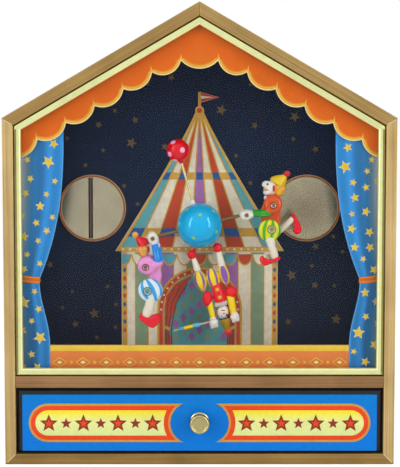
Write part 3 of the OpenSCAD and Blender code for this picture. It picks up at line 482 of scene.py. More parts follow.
CARD_Y0, CURTAIN_Y0, WALL_X = -36.2, -35.4, INNER_X - PANE_EDGE
BAND, MIDDLE_BAND, SCALLOP_W, SCALLOP_MID, SCALLOP_DROP = 13.0, 15.5, 15.8, 20.5, 4.5


def below_roof(s):
    """Distance below the roof's underside, square to it, in metres."""
    x, _, z = s.split(s.at)
    height = s.math("MULTIPLY_ADD", s.math("ABSOLUTE", x), ROOF_M, z)
    return s.math("MULTIPLY", s.math("SUBTRACT", (CASE_H - ROOF_T * ROOF_K) * MM, height), 1 / ROOF_K)


def valance_print(s):
    # A little darker near the roof than lower down: painted shade under the roof and bezel
    depth = s.span(below_roof(s), 0.0035, 0.018)
    return s.ramp(depth, [(0.0, "#EA6C0C"), (0.3, "#E6680E"), (0.75, "#E86C12"), (1.0, "#EC7618")])


trim_gold = ink("print_gold", "#F0BA48", grain=600)
trim_soft = ink("print_amber", "#E8942E", grain=600)
cream = ink("print_cream", "#F3E2A6", 0.08, 600, rough=0.45)
dress(ink("valance_print", valance_print, 0.09, 700, 0.08, depth=0.05), "valance_card")


def scallops():
    """Ends of each scallop's chord along the valance, from the middle out."""
    first = SCALLOP_MID / 2
    spans = [(-first, first)]
    while first < INNER_X:
        spans += [(first, first + SCALLOP_W), (-first - SCALLOP_W, -first)]
        first += SCALLOP_W
    return spans


def cusp(x):
    return Vector((x, roof_z(x, ROOF_T + (BAND if abs(x) > SCALLOP_MID / 2 else MIDDLE_BAND))))


trim = Piece("valance_trim")
for x0, x1 in scallops():
    a, b = cusp(x0), cusp(x1)
    chord = (b - a).length
    r = (chord ** 2 / 4 + SCALLOP_DROP ** 2) / (2 * SCALLOP_DROP)
    along = (b - a) / chord
    mid = (a + b) / 2 + Vector((-along.y, along.x)) * (r - SCALLOP_DROP)
    start, end = (math.degrees(math.atan2(p.y - mid.y, p.x - mid.x)) % 360 for p in (a, b))
    end += 360 if end < start else 0
    if min(abs(x0), abs(x1)) < WALL_X:
        for width, level, tint in ((2.3, 1, trim_soft), (1.7, 2, trim_gold), (0.45, 3, cream)):
            band = arc(mid.x, mid.y, r, start, end, 20) + arc(mid.x, mid.y, r - width, end, start, 20)
            trim.printed([(min(max(x, -WALL_X), WALL_X), z) for x, z in band], CARD_Y0, level, tint)
    for x, z in ([a] if x0 > 0 else [b] if x1 < 0 else []):
        if abs(x) < WALL_X - 2:
            lean = 0.2 if abs(x) < SCALLOP_MID else math.copysign(1.0, x)
            flame = [(-1.2, 0.2), (lean * 0.4 - 0.4, 1.6), (lean, 3.9), (lean * 0.4 + 0.5, 1.5), (1.2, 0.2),
                     (0, -0.4)]
            trim.printed([(x + dx, z + dz) for dx, dz in flame], CARD_Y0, 2.5, trim_gold)
trim.done("case", "orange_card")

# Curtains: printed folds that follow the drawn-in edge, scattered stars, a tie-back

TIE_Z, APRON_Z, FLOOR_Z = 102.5, 66.0, SHELF_TOP + 0.3
TOP_X, TIE_X, FOOT_X = 75.0, 89.0, 83.3
HEAD_Z = roof_z(TOP_X, ROOF_T + BAND) - SCALLOP_DROP
CURTAIN_DRAW, FOLD_TOP, WIDEST, FOLD_STOPS = 2.5, 205.0, 30.0, 24


def curtain_edge(z):
    """Distance from the middle to a curtain's inner edge at a height."""
    if z >= HEAD_Z:
        return TOP_X
    if z >= TIE_Z:
        return TOP_X + (TIE_X - TOP_X) * ((HEAD_Z - z) / (HEAD_Z - TIE_Z)) ** CURTAIN_DRAW
    t = min((TIE_Z - z) / (TIE_Z - APRON_Z), 1)
    return TIE_X + (FOOT_X - TIE_X) * (1 - math.cos(math.pi * t)) / 2


def curtain_print(s):
    """Printed folds across the curtain's width; pale and grey near the wall as a painted reflection over the
    bezel's shadow, and darker near the floor.
    """
    x, _, z = s.split(s.at)
    up = s.span(z, FLOOR_Z * MM, FOLD_TOP * MM)
    shares = [i / (FOLD_STOPS - 1) for i in range(FOLD_STOPS)]
    widths = [(t, (WALL_X - curtain_edge(FLOOR_Z + t * (FOLD_TOP - FLOOR_Z))) / WIDEST) for t in shares]
    width = s.math("MULTIPLY", s.ramp(up, widths), WIDEST * MM)
    across = s.math("DIVIDE", s.math("SUBTRACT", WALL_X * MM, s.math("ABSOLUTE", x)), width)
    sway = s.math("MULTIPLY", s.noise(s.moved((20, 1, 9)), 1.0, 1.0), 1.2)
    fold = s.span(s.math("SINE", s.math("MULTIPLY_ADD", across, 19.0, sway)), -1.0, 1.0)
    # Across the width: the pale grey next to the wall is a painted reflection, then the print's blue
    blue = s.ramp(across, [(0.12, "#D6E0E6"), (0.2, "#A8C0D0"), (0.27, "#689CC2"), (0.37, "#2E78AE"),
                           (0.62, "#3A92DC"), (0.9, "#3CA6F8")])
    shade = s.ramp(fold, [(0.0, "#D6D6D6"), (0.4, "#E4E4E4"), (1.0, "#FFFFFF")])
    low = s.ramp(up, [(0.0, "#D8DADC"), (0.5, "#FFFFFF")])
    return s.mix(1.0, s.mix(1.0, blue, shade), low)


star_gold = ink("star_gold", "#F2CE34", 0.12)
# Pale blue for the painted highlight along the curtain's cut edge
edge_highlight_blue = ink("curtain_edge", "#6FB0EA", 0.08)
tie_orange = ink("tie_orange", "#E0701E", 0.12, bump=0.08)
dress(ink("curtain_print", curtain_print, 0.07, 700, 0.08, 0.4, 0.05),
      "curtain_card_left", "curtain_card_right")

STAR_SIZES, STAR_GAP, STAR_TRIES, STAR_TOP = (2.0, 2.3, 2.8, 3.8), 2.6, 900, 186
TIE_IN, TIE_MID = TIE_X - 0.6, 94.0
TIE_BAND = [(TIE_IN + 0.4, -2.2), (TIE_IN - 0.2, -0.4), (TIE_IN + 0.3, 1.4), (TIE_MID, 2.0), (WALL_X, 3.2),
            (WALL_X, -0.6), (TIE_MID, -1.9)]
rng = random.Random(SEED)
for side, label in ((-1, "left"), (1, "right")):
    marks = Piece("curtain_stars_" + label)
    heights = [APRON_Z - 10 + (HEAD_Z + 4 - APRON_Z) * i / 60 for i in range(61)]
    # A pale band along the curtain's cut edge: painted highlight of the card's edge
    lit_edge_band = [(curtain_edge(z), z) for z in heights] + [(curtain_edge(z) + 0.4, z) for z in heights[::-1]]
    marks.printed(mirrored(lit_edge_band, side), CURTAIN_Y0, 1, edge_highlight_blue)
    placed = []
    for _ in range(STAR_TRIES):
        z = rng.uniform(FLOOR_Z + 3, STAR_TOP)
        x = rng.uniform(curtain_edge(z) + 1.6, WALL_X - 1.4)
        size = rng.choice(STAR_SIZES)
        if z > roof_z(x, ROOF_T + BAND) - SCALLOP_DROP - 2.5 or abs(z - TIE_Z) < 4.5:
            continue
        if x - size < curtain_edge(z) + 0.4 or x + size > WALL_X:
            continue
        if all(math.dist((x, z), (px, pz)) > STAR_GAP + size + ps for px, pz, ps in placed):
            placed.append((x, z, size))
            turn = rng.uniform(-36, 36)
            marks.printed(star(side * x, z, size, turn), CURTAIN_Y0, 1, cream)
            marks.printed(star(side * x, z, size * 0.8, turn), CURTAIN_Y0, 1.8, star_gold)
    marks.done("case", "blue_card")
    tie = Piece("curtain_tie_" + label)
    tie.printed(mirrored([(x, TIE_Z + z) for x, z in TIE_BAND], side), CURTAIN_Y0, 2.5, tie_orange, 0.12)
    for lift in (TIE_Z - 1.4, TIE_Z + 0.9):
        line = [(TIE_IN + 0.5, lift), (TIE_MID, lift + 0.3), (WALL_X, lift + 1.4)]
        tie.printed(mirrored(line + [(x, z + 0.35) for x, z in line[::-1]], side), CURTAIN_Y0, 3.2, trim_gold)
    tie.done("case", "blue_card")


# Apron strip: yellow band over an orange one, with a row of plain lozenges

def apron_print(s):
    up = s.span(s.split(s.at)[2], FLOOR_Z * MM, APRON_Z * MM)
    return s.ramp(up, [(0.0, "#DE7230"), (0.2, "#E67E3C"), (0.772, "#EE8A48"), (0.776, "#C2682A"),
                       (0.79, "#F4C840"), (0.97, "#F8D250"), (1.0, "#E0AC34")])


dress(ink("apron_print", apron_print, 0.09, 700, 0.06), "apron_card")
LOZENGE_Z, LOZENGE_PITCH, LOZENGE_END = 56.3, 13.0, 6
row = Piece("apron_lozenges")
for i in range(-LOZENGE_END, LOZENGE_END + 1):
    x = i * LOZENGE_PITCH
    for w, h, level, tint in ((4.2, 2.9, 1, trim_gold), (3.2, 2.1, 2, tie_orange), (1.7, 1.1, 3, cream)):
        row.printed(lozenge(x, LOZENGE_Z, w, h), CURTAIN_Y0, level, tint)
    if i < LOZENGE_END:
        row.printed(disc(x + LOZENGE_PITCH / 2, LOZENGE_Z, 0.9, 20), CURTAIN_Y0, 1, trim_gold)
row.done("case", "orange_card")


# Backdrop with dim stars, clear of the tent and the mirrors

def backdrop_print(s):
    up = s.span(s.split(s.at)[2], 0.05, 0.24)
    return s.ramp(up, [(0.0, "#20273C"), (0.35, "#12233F"), (1.0, "#081D3E")])


dress(ink("backdrop_print", backdrop_print, 0.18, 300, 0.06, 0.5), "backdrop_board")
dim_gold = ink("dim_gold", "#705E3A", 0.25, rough=0.5)
dim_dot = ink("dim_dot", "#4C5C60", 0.25, rough=0.5)
BACK_Y0 = -4.0
TENT_X, TENT_OVER, TENT_EAVE, TENT_PEAK, FLAG_ROOM = 45.0, 3.5, 116.0, 198.0, 12
MIRROR_X, MIRROR_Z, MIRROR_R = 61.6, 140.6, 19.2
SKY_SIZES, SKY_GAP, SKY_TRIES = (0.5, 1.6, 2.3, 3.3), 7.0, 1500


def tent_x(t):
    """Half width of the tent's roof at a share t of its height."""
    return (TENT_X + TENT_OVER) * (1 - t) ** 1.1 + 1.2 * t


sky = Piece("backdrop_stars")
rng = random.Random(SEED + 1)
placed = []
for _ in range(SKY_TRIES):
    x, z = rng.uniform(-97, 97), rng.uniform(58, 228)
    size = rng.choice(SKY_SIZES)
    if z > roof_z(x, ROOF_T + 4) or math.dist((abs(x), z), (MIRROR_X, MIRROR_Z)) < MIRROR_R + size + 1:
        continue
    t = (z - TENT_EAVE) / (TENT_PEAK - TENT_EAVE)
    if abs(x) < (TENT_X if t < 0 else tent_x(t) if t < 1 else FLAG_ROOM) + size + 1.5:
        continue
    if all(math.dist((x, z), (px, pz)) > SKY_GAP + size + ps for px, pz, ps in placed):
        placed.append((x, z, size))
        sky.printed(star(x, z, size, rng.uniform(-36, 36)), BACK_Y0, 1, dim_gold if size > 1 else dim_dot)
sky.done("case", "navy_board")

# Tent front: striped roof and walls, scalloped eave and arched doorway, printed in layers on the CAD board

FACADE_Y0, TENT_FOOT, WALL_TOP, FLAG_TOP = -5.6, SHELF_TOP + 0.4, TENT_EAVE - 1.0, 207
tints = {name: ink("print_" + name, code, 0.13, 420, 0.08, 0.46, 0.05) for name, code in (
    ("ivory", "#E2D8BC"), ("gold_ochre", "#DEAE4C"), ("teal", "#68B2BA"), ("red", "#D05236"),
    ("lavender", "#AC74B4"), ("sage", "#8EA886"), ("royal", "#3264A0"), ("shade", "#584A52"),
    ("pearl", "#F6ECD2"))}
dress(tints["ivory"], "facade_panel")
tent = Piece("tent_front")


def layer(outline, level, tint, edge=0.0):
    tent.printed(outline, FACADE_Y0, level, tints[tint], edge)


def roof_line(share, t0=0.0, t1=1.0, count=14):
    """Line up the roof at a share of its half width, between two shares of its height."""
    steps = [t0 + (t1 - t0) * i / count for i in range(count + 1)]
    return [(share * (tent_x(t) - 0.6), TENT_EAVE + (TENT_PEAK - TENT_EAVE) * t) for t in steps]


GORES = ("teal", "pearl", "red", "pearl", "lavender", "pearl", "red", "pearl", "teal")
for i, tint in enumerate(GORES):
    a, b = 2 * i / len(GORES) - 1, 2 * (i + 1) / len(GORES) - 1
    layer(roof_line(a) + roof_line(b)[::-1], 1, tint)
    for t0, t1 in ((0.1, 0.16), (0.5, 0.55)):
        band = roof_line(a, t0, t1, 2) + roof_line(b, t0, t1, 2)[::-1]
        layer(band, 2, "gold_ochre" if tint == "pearl" else "royal")
    if i:
        layer(ribbon(roof_line(a, 0, 0.97), 0.7), 3, "gold_ochre")
for share in (-0.985, 0.985):
    layer(ribbon(roof_line(share, 0, 0.98), 1.3), 4, "gold_ochre")
layer(disc(0, TENT_PEAK - 1.5, 2.6, 24), 5, "gold_ochre", 0.2)
layer(disc(0, TENT_PEAK - 1.5, 1.5, 24), 6, "red", 0.1)
layer(box(-0.7, TENT_PEAK - 1, 0.7, FLAG_TOP), 4, "gold_ochre")
layer([(0.8, FLAG_TOP - 5.8), (10.6, FLAG_TOP - 3), (0.8, FLAG_TOP - 0.2)], 5, "red")
layer([(0.8, FLAG_TOP - 3.8), (8.4, FLAG_TOP - 3), (0.8, FLAG_TOP - 2.2)], 6, "pearl")

WALL_STRIPES = 12
STRIPE_W = (2 * TENT_X - 1) / WALL_STRIPES
for i in range(WALL_STRIPES):
    a = 0.5 - TENT_X + i * STRIPE_W
    tint = ("pearl", "sage", "pearl", "lavender")[min(i, WALL_STRIPES - 1 - i) % 4]
    layer(box(a, TENT_FOOT, a + STRIPE_W, WALL_TOP), 1, tint)
    if i:
        layer(box(a - 0.25, TENT_FOOT, a + 0.25, WALL_TOP), 2, "gold_ochre")
for side in (-1, 1):
    layer(box(side * 44.6, TENT_FOOT, side * 41.8, WALL_TOP), 3, "gold_ochre")
    for i in range(9):
        layer(lozenge(side * 43.2, 70 + i * 5, 1.0, 1.7), 4, ("red", "royal")[i % 2])

EAVE_COUNT, EAVE_X, EAVE_END = 11, TENT_X + TENT_OVER - 0.6, TENT_X - 0.4
for i in range(EAVE_COUNT):
    cx = (2 * i + 1 - EAVE_COUNT) * EAVE_X / EAVE_COUNT
    for scale, level, tint in ((1.0, 4, "gold_ochre"), (0.86, 5, ("red", "pearl", "teal")[abs(i - 5) % 3])):
        drop = arc(cx, TENT_EAVE - 2, EAVE_X / EAVE_COUNT * scale, 180, 360, 14, 6.6 * scale)
        layer([(min(max(x, -EAVE_END), EAVE_END), z) for x, z in drop], level, tint)
eave = [(-48, -0.2), (48, -0.2), (46.6, 2.2), (-46.6, 2.2)]
layer([(x, TENT_EAVE + z) for x, z in eave], 6, "gold_ochre", 0.2)
for i in range(23):
    layer(disc(i * 4 - 44, TENT_EAVE + 1, 0.65, 12), 7, "pearl")

DOOR_Z = 82.0  # where the doorway's round top begins
for half, level, tint in ((24.5, 3, "gold_ochre"), (23.3, 4, "red"), (21.2, 5, "gold_ochre"),
                          (20.4, 6, "teal")):
    layer([(half, TENT_FOOT)] + arc(0, DOOR_Z, half, 0, 180, 24) + [(-half, TENT_FOOT)], level, tint)
for x, z in arc(0, DOOR_Z, 22.2, 0, 180, 16):
    layer(disc(x, z, 0.6, 12), 5, "pearl")
DOOR_W, DOOR_H = 2.3, 3.7  # half sizes of the lozenges on the door's cloth
for i in range(-4, 5):
    for j in range(-1, 8):
        x, z = 2 * i * DOOR_W, 70 + j * DOOR_H
        if (i + j) % 2 == 0 and math.hypot(x, max(z - DOOR_Z, 0)) < 16.4 and z > 58:
            tint = ("lavender", "pearl", "sage", "royal")[(i + 3 * j) % 4]
            layer(offset(lozenge(x, z, DOOR_W, DOOR_H), 0.3), 7, tint)
FOLD = ((20.2, 83), (19.2, 90), (14, 97), (4, 101.8), (9, 95), (13, 86), (16.4, 76), (17.6, 70), (15, 58),
        (20.2, 58))
for side in (-1, 1):
    layer(mirrored(FOLD, side), 8, "red")
    for k in range(3):
        x = 19.4 - k * 1.5
        line = [(x - 0.3, 60), (x - 0.1, 72), (x - 1.0 - k, 86), (x - 4.5 - 2.4 * k, 95 + k)]
        layer(ribbon(mirrored(line, side), 0.5), 9, "shade")
    layer(ribbon(mirrored([(17.2, 70.5), (20.3, 72)], side), 1.8), 10, "gold_ochre")
tent.done("case", "facade_print")

# Round mirrors with ringed rims, an inlaid strip on the left one and a painted dark reflection in the middle
# of the right one

mirror = Shader("mirror_film")
smear = mirror.noise(mirror.at, 70.0, 4.0)
across, _, up = mirror.split(mirror.at)
# Darker towards the middle of the right disc only: a painted dark reflection
off_x = mirror.math("SUBTRACT", across, MIRROR_X * MM)
off_z = mirror.math("SUBTRACT", up, (MIRROR_Z - 2) * MM)
away = mirror.math("SQRT", mirror.math("MULTIPLY_ADD", off_x, off_x, mirror.math("MULTIPLY", off_z, off_z)))
dark_reflection = mirror.ramp(mirror.span(away, 0.0, MIRROR_R * MM),
                   [(0.1, [0.66, 0.6, 0.56, 1]), (0.9, [0.92, 0.92, 0.9, 1]), (1.0, 1.0)])
film = mirror.ramp(smear, [(0.3, "#A49C82"), (0.75, "#B3AA90")])
mirror.set(Base_Color=mirror.mix(1.0, film, dark_reflection), Metallic=0.8,
           Roughness=mirror.span(smear, 0, 1, 0.2, 0.26))
mirror.bump(smear, 0.03, 0.1 * MM)
dress(mirror.material, "mirror_discs")
rim_red, rim_gold, seam_grey = (surface(name, code, vary=0.15) for name, code in (
    ("rim_red", "#A8452C"), ("rim_gold", "#E0BC84"), ("seam_grey", "#6E645C")))
RIM_EDGE, RIM_SOFT = 0.2, 0.15
rims = Piece("mirror_rim_rings")
for side in (-1, 1):
    for outer, inner, lift, tint in ((MIRROR_R, 18.65, 1.45, rim_gold), (18.7, 18.15, 1.6, rim_red),
                                     (18.2, 17.7, 1.4, rim_gold)):
        section = [(outer, 0), (outer, lift - RIM_EDGE), (outer - RIM_SOFT, lift), (inner + RIM_SOFT, lift),
                   (inner, lift - RIM_EDGE), (inner, 0)]
        rims.hoop(section, (side * MIRROR_X, BACK_Y0, MIRROR_Z), tint, count=72)
rims.done("case", "brass", "mirror_rims")
SEAM_X, SEAM_W, SEAM_LINE, SEAM_Y, SEAM_R = -1.0 - MIRROR_X, 1.25, 0.75, -5.0, 17.6
reach = math.sqrt(SEAM_R ** 2 - (SEAM_W + 1.0) ** 2)
seam = Piece("mirror_seam")
for x0, x1, level, tint in ((-SEAM_W, SEAM_W, 0.4, seam_grey), (-SEAM_W, SEAM_LINE - SEAM_W, 0.8, dark),
                            (SEAM_W - SEAM_LINE, SEAM_W, 0.8, dark)):
    seam.printed(box(SEAM_X + x0, MIRROR_Z - reach, SEAM_X + x1, MIRROR_Z + reach), SEAM_Y, level, tint)
seam.done("case", "facade_print")

# Rotor: starred ball, bar with its pins and caps, balloon on its stick

SET_TURN = math.radians(14)
LEFT_PIN, RIGHT_PIN = (-26.198, 125.068), (26.198, 138.132)
ball_blue = paint("ball_blue", "#12B8F2", 0.07, 0.0, 0.85, 0.02, "#7FD4FF")
balloon_red = paint("red_paint", "#EA0018", 0.07, 0.0, 0.5, 0.02, "#FFCBD2")
white = paint("white_paint", "#F2EFE6", 0.32)


def spots(piece, centre, radius, places, outline, material):
    """Painted marks on a sphere, placed by shares of the radius; the back repeats them a quarter turn on."""
    for back in (False, True):
        for u, v, turn in places:
            if back:
                u, v = -v, u
            depth = math.sqrt(max(1 - u * u - v * v, 0.02))
            n = Vector((u, depth if back else -depth, v)).normalized()
            side = n.cross(Vector((0, 0, 1))).normalized()
            up = side.cross(n)
            piece.skin([[Vector(centre) + (n * radius + side * a + up * b).normalized() * (radius + lift)
                         for a, b in outline(share, turn)]
                        for share, lift in ((1.0, -0.35), (1.0, 0.07), (0.5, 0.09), (0.05, 0.09))], material)


STAR_R, DOT_R = 1.35, 1.5
BALL_STARS = ((0.03, 0.53, -8), (-0.88, 0.12, 15), (-0.27, -0.48, 22), (0.75, -0.23, 30), (0.3, -0.88, 5),
              (0.62, 0.66, 12), (-0.55, 0.74, 40))
ball = Piece("ball_shell")
ball.egg(BALL, (BALL_R,) * 3, ball_blue, 64)
spots(ball, BALL, BALL_R, BALL_STARS, lambda share, turn: star(0, 0, STAR_R * share, turn, 0.5),
      paint("ball_star", "#A8D84A", 0.3))
ball.done("rotor", "ball_blue", "ball")

old_brass = surface("old_brass", "#8A6C42", 0.36, 0.6, vary=0.16, grain=380, depth=0.05)
cap_olive = surface("cap_olive", "#A89C66", 0.34, 0.6, vary=0.12, grain=400)
PIN_FRONT, PIN_BACK, CAP_Y, BEND = -31.4, -20.0, -30.6, 1.6
BAR_SIZES = [1.0, 0.95, 0.85] + [0.8] * 7
CAP = ((1.1, 0), (1.3, 0.15), (1.3, 0.8), (1.15, 1.1), (0.9, 1.2), (0.65, 1.0), (0.5, 0.7), (0.0, 0.6))
bar, caps = Piece("cross_bar_wire"), Piece("pin_cap_domes")
for (x, z), side in ((LEFT_PIN, -1), (RIGHT_PIN, 1)):
    out = Vector((math.cos(SET_TURN), 0, math.sin(SET_TURN))) * side
    tip, front = Vector((x, PIN_BACK, z)), Vector((0, -1, 0))
    path = [Vector(BALL), tip - out * 6, tip - out * (BEND + 0.6)]
    for a in (math.radians(18 * k) for k in range(1, 6)):
        path.append(tip - out * BEND * (1 - math.sin(a)) + front * BEND * (1 - math.cos(a)))
    bar.tube(path + [tip + front * 4, Vector((x, PIN_FRONT, z))], BAR_SIZES, old_brass, 16)
    collar = [Vector(BALL) + out * (BALL_R + rise) for rise in (-0.8, 0.25)]
    bar.tube(collar, [1.3, 1.2], old_brass, 16)
    caps.lathe(CAP, (x, CAP_Y, z), cap_olive, count=28)
bar.done("rotor", "bezel_gold", "cross_bar")
caps.done("rotor", "brass", "pin_caps")

STICK_ANGLE = math.radians(92) + SET_TURN
BALLOON_R, BALLOON_REACH, BALLOON_STEPS = 6.5, 44, 22


def on_stick(r):
    """Point on the balloon's stick, r from the ball's centre."""
    return Vector((r * math.cos(STICK_ANGLE), BALL[1], BALL[2] + r * math.sin(STICK_ANGLE)))


stick_gold = surface("stick_gold", "#E2CE8E", 0.3, 0.6, vary=0.12, grain=400, bump=0.05)
stick = Piece("balloon_rod")
stick.tube([on_stick(r) for r in (10, 24, 40)], [0.75, 0.72, 0.7], stick_gold, 14)
stick.tube([on_stick(r) for r in (12.2, 14.2)], [1.35, 1.15], white, 16)
stick.done("rotor", "bezel_gold", "balloon_stick")
BALLOON_DOTS = ((0.4, 0.05, 0), (-0.72, -0.31, 0), (-0.43, 0.72, 0), (-0.25, -0.88, 0))
KNOT = ((0.6, -0.9), (1.5, -0.7), (1.2, 0.1), (0.9, 0.5), (1.3, 0.9))
balloon = Piece("balloon_shell")
centre = on_stick(BALLOON_REACH)
out = (centre - on_stick(40)).normalized()
profile = []
for a in (math.pi * k / BALLOON_STEPS for k in range(BALLOON_STEPS + 1)):
    pull = 1 - 0.05 * max(0.0, math.cos(a)) ** 3
    profile.append((BALLOON_R * math.sin(a) * pull, -BALLOON_R * math.cos(a)))
balloon.lathe(profile, centre, balloon_red, out)
balloon.lathe(KNOT, on_stick(BALLOON_REACH - BALLOON_R - 0.1), balloon_red, out, 24)
spots(balloon, centre, BALLOON_R, BALLOON_DOTS, lambda share, turn: disc(0, 0, DOT_R * share, 24),
      paint("dot_pink", "#FFBEE6", 0.2))
balloon.done("rotor", "balloon_red", "balloon")

# Jointed clowns, in three layers: near limbs, body, far limbs (centre depth, room in front, room behind)

NEAR, MID, FAR = (-29.1, 2.1, 1.2), (-25.9, 1.6, 1.6), (-22.75, 1.15, 1.15)
TUFTS, GOLDEN_ANGLE = 26, 2.39996
PUFF_R, RIVET_Y, RIVET_LENGTH = 7.0, -30.5, 9.3


def stripes(centre, along, radius, dark, light, count, phase, swirl, share):
    """Stripes round a puffed shape like the seams of a ball, from pole to pole along an XZ direction."""
    ax, az = (c / (radius * MM) for c in along)

    def pattern(s):
        x, _, z = s.split(s.at)
        dx = s.math("SUBTRACT", x, centre[0] * MM)
        dz = s.math("SUBTRACT", z, centre[1] * MM)
        u = s.math("MULTIPLY_ADD", dx, az, s.math("MULTIPLY", dz, -ax))
        v = s.math("MULTIPLY_ADD", dx, ax, s.math("MULTIPLY", dz, az))
        room = s.math("SQRT", s.math("MAXIMUM", s.math("SUBTRACT", 1.0, s.math("MULTIPLY", v, v)), 0.06))
        turn = s.math("ARCSINE", s.math("MINIMUM", s.math("MAXIMUM", s.math("DIVIDE", u, room), -0.98), 0.98))
        angle = s.math("MULTIPLY_ADD", turn, count, s.math("MULTIPLY_ADD", v, swirl, phase))
        return s.ramp(s.span(s.math("SINE", angle), -1.0, 1.0), [(share, dark), (share + 0.16, light)])
    return pattern


def lens(piece, at, rx, rz, where, material, count=32, square=0.8):
    """Puffed disc in one layer."""
    y, front, back = where
    rings = []
    for t in (math.pi * k / 14 for k in range(1, 14)):
        r, h = math.sin(t) ** square, math.cos(t)
        depth = y + h * (back if h > 0 else front)
        rings.append([(at[0] + rx * r * math.cos(a), depth, at[1] + rz * r * math.sin(a))
                      for a in turns(count)])
    piece.skin(rings, material)


def round_loop(points, steps=5):
    """Closed smooth curve through points."""
    count = len(points)
    made = []
    for i in range(count):
        a, b, c, d = (Vector(points[(i + k) % count]) for k in (-1, 0, 1, 2))
        for t in (j / steps for j in range(steps)):
            p = 2 * b + (c - a) * t + (2 * a - 5 * b + 4 * c - d) * t ** 2 + (3 * b - a - 3 * c + d) * t ** 3
            made.append((p.x / 2, p.y / 2))
    return made


def pillow(piece, points, where, material, edge):
    """Puffed shape in one layer, with a smooth outline through XZ points."""
    y, front, back = where
    outline = round_loop(points)
    rings = []
    for tilt in (math.radians(17 * k) for k in range(-5, 6)):
        lift = math.sin(tilt)
        rings.append([(x, y - lift * (front if lift > 0 else back), z)
                      for x, z in offset(outline, edge * (1 - math.cos(tilt)))])
    piece.skin(rings, material)


def limb(piece, points, radii, where, material, share):
    """Round limb through XZ points, flattened to a share of its layer."""
    y, front, back = where
    half = (front + back) / 2 * share
    middle = y - (front - back) / 2 * share
    piece.tube([(x, middle, z) for x, z in points], radii, material, flat=[min(r, half) for r in radii])


def plus(a, x, z):
    return (a[0] + x, a[1] + z)


def pompon(piece, at, r, material):
    """Fluffy ball: a core with small tufts all round it."""
    piece.egg(at, (r * 0.85,) * 3, material, 18)
    for k in range(TUFTS):
        z = 1 - 2 * (k + 0.5) / TUFTS
        a, ring = k * GOLDEN_ANGLE, math.sqrt(1 - z * z)
        tuft = Vector((math.cos(a) * ring, math.sin(a) * ring, z)) * r * 0.68
        piece.egg(Vector(at) + tuft, (r * 0.36,) * 3, material, 8)


FIST = ((4.0, -1.2), (2.3, -2.2), (0.3, -2.9), (-1.8, -2.4), (-3.2, -1.2), (-3.8, 0.3), (-2.9, 1.8),
        (-1.2, 2.6), (0.6, 2.8), (2.4, 2.2), (4.0, 1.2))
HAT = ((-2.0, 2.0, 4.5), (-2.25, 2.4, 5.0), (-2.65, 2.95, 4.85), (-4.0, 4.2, 3.8), (-5.5, 5.5, 2.4),
       (-6.8, 6.6, 1.2))
CURLS = ((-4.9, 1.4, -0.6, 1.7), (-2.2, 2.0, 0.2, 1.7), (-3.0, 1.6, -2.8, 1.8))
eye_black = paint("eye_black", "#15120F", 0.2)
eye_grey = paint("eye_grey", "#7E96AE", 0.2)
cheek_red = paint("cheek_red", "#D3202A", 0.3)
skin_tan = paint("skin_tan", "#E0B088", 0.34)
sock_white = paint("sock_white", "#EFE9D4", 0.36)
shoe_red = paint("shoe_red", "#F21028", 0.16)
rivet_steel = surface("rivet_steel", "#DAD8D2", 0.22, 0.7, vary=0.12, bump=0.08, depth=0.04)


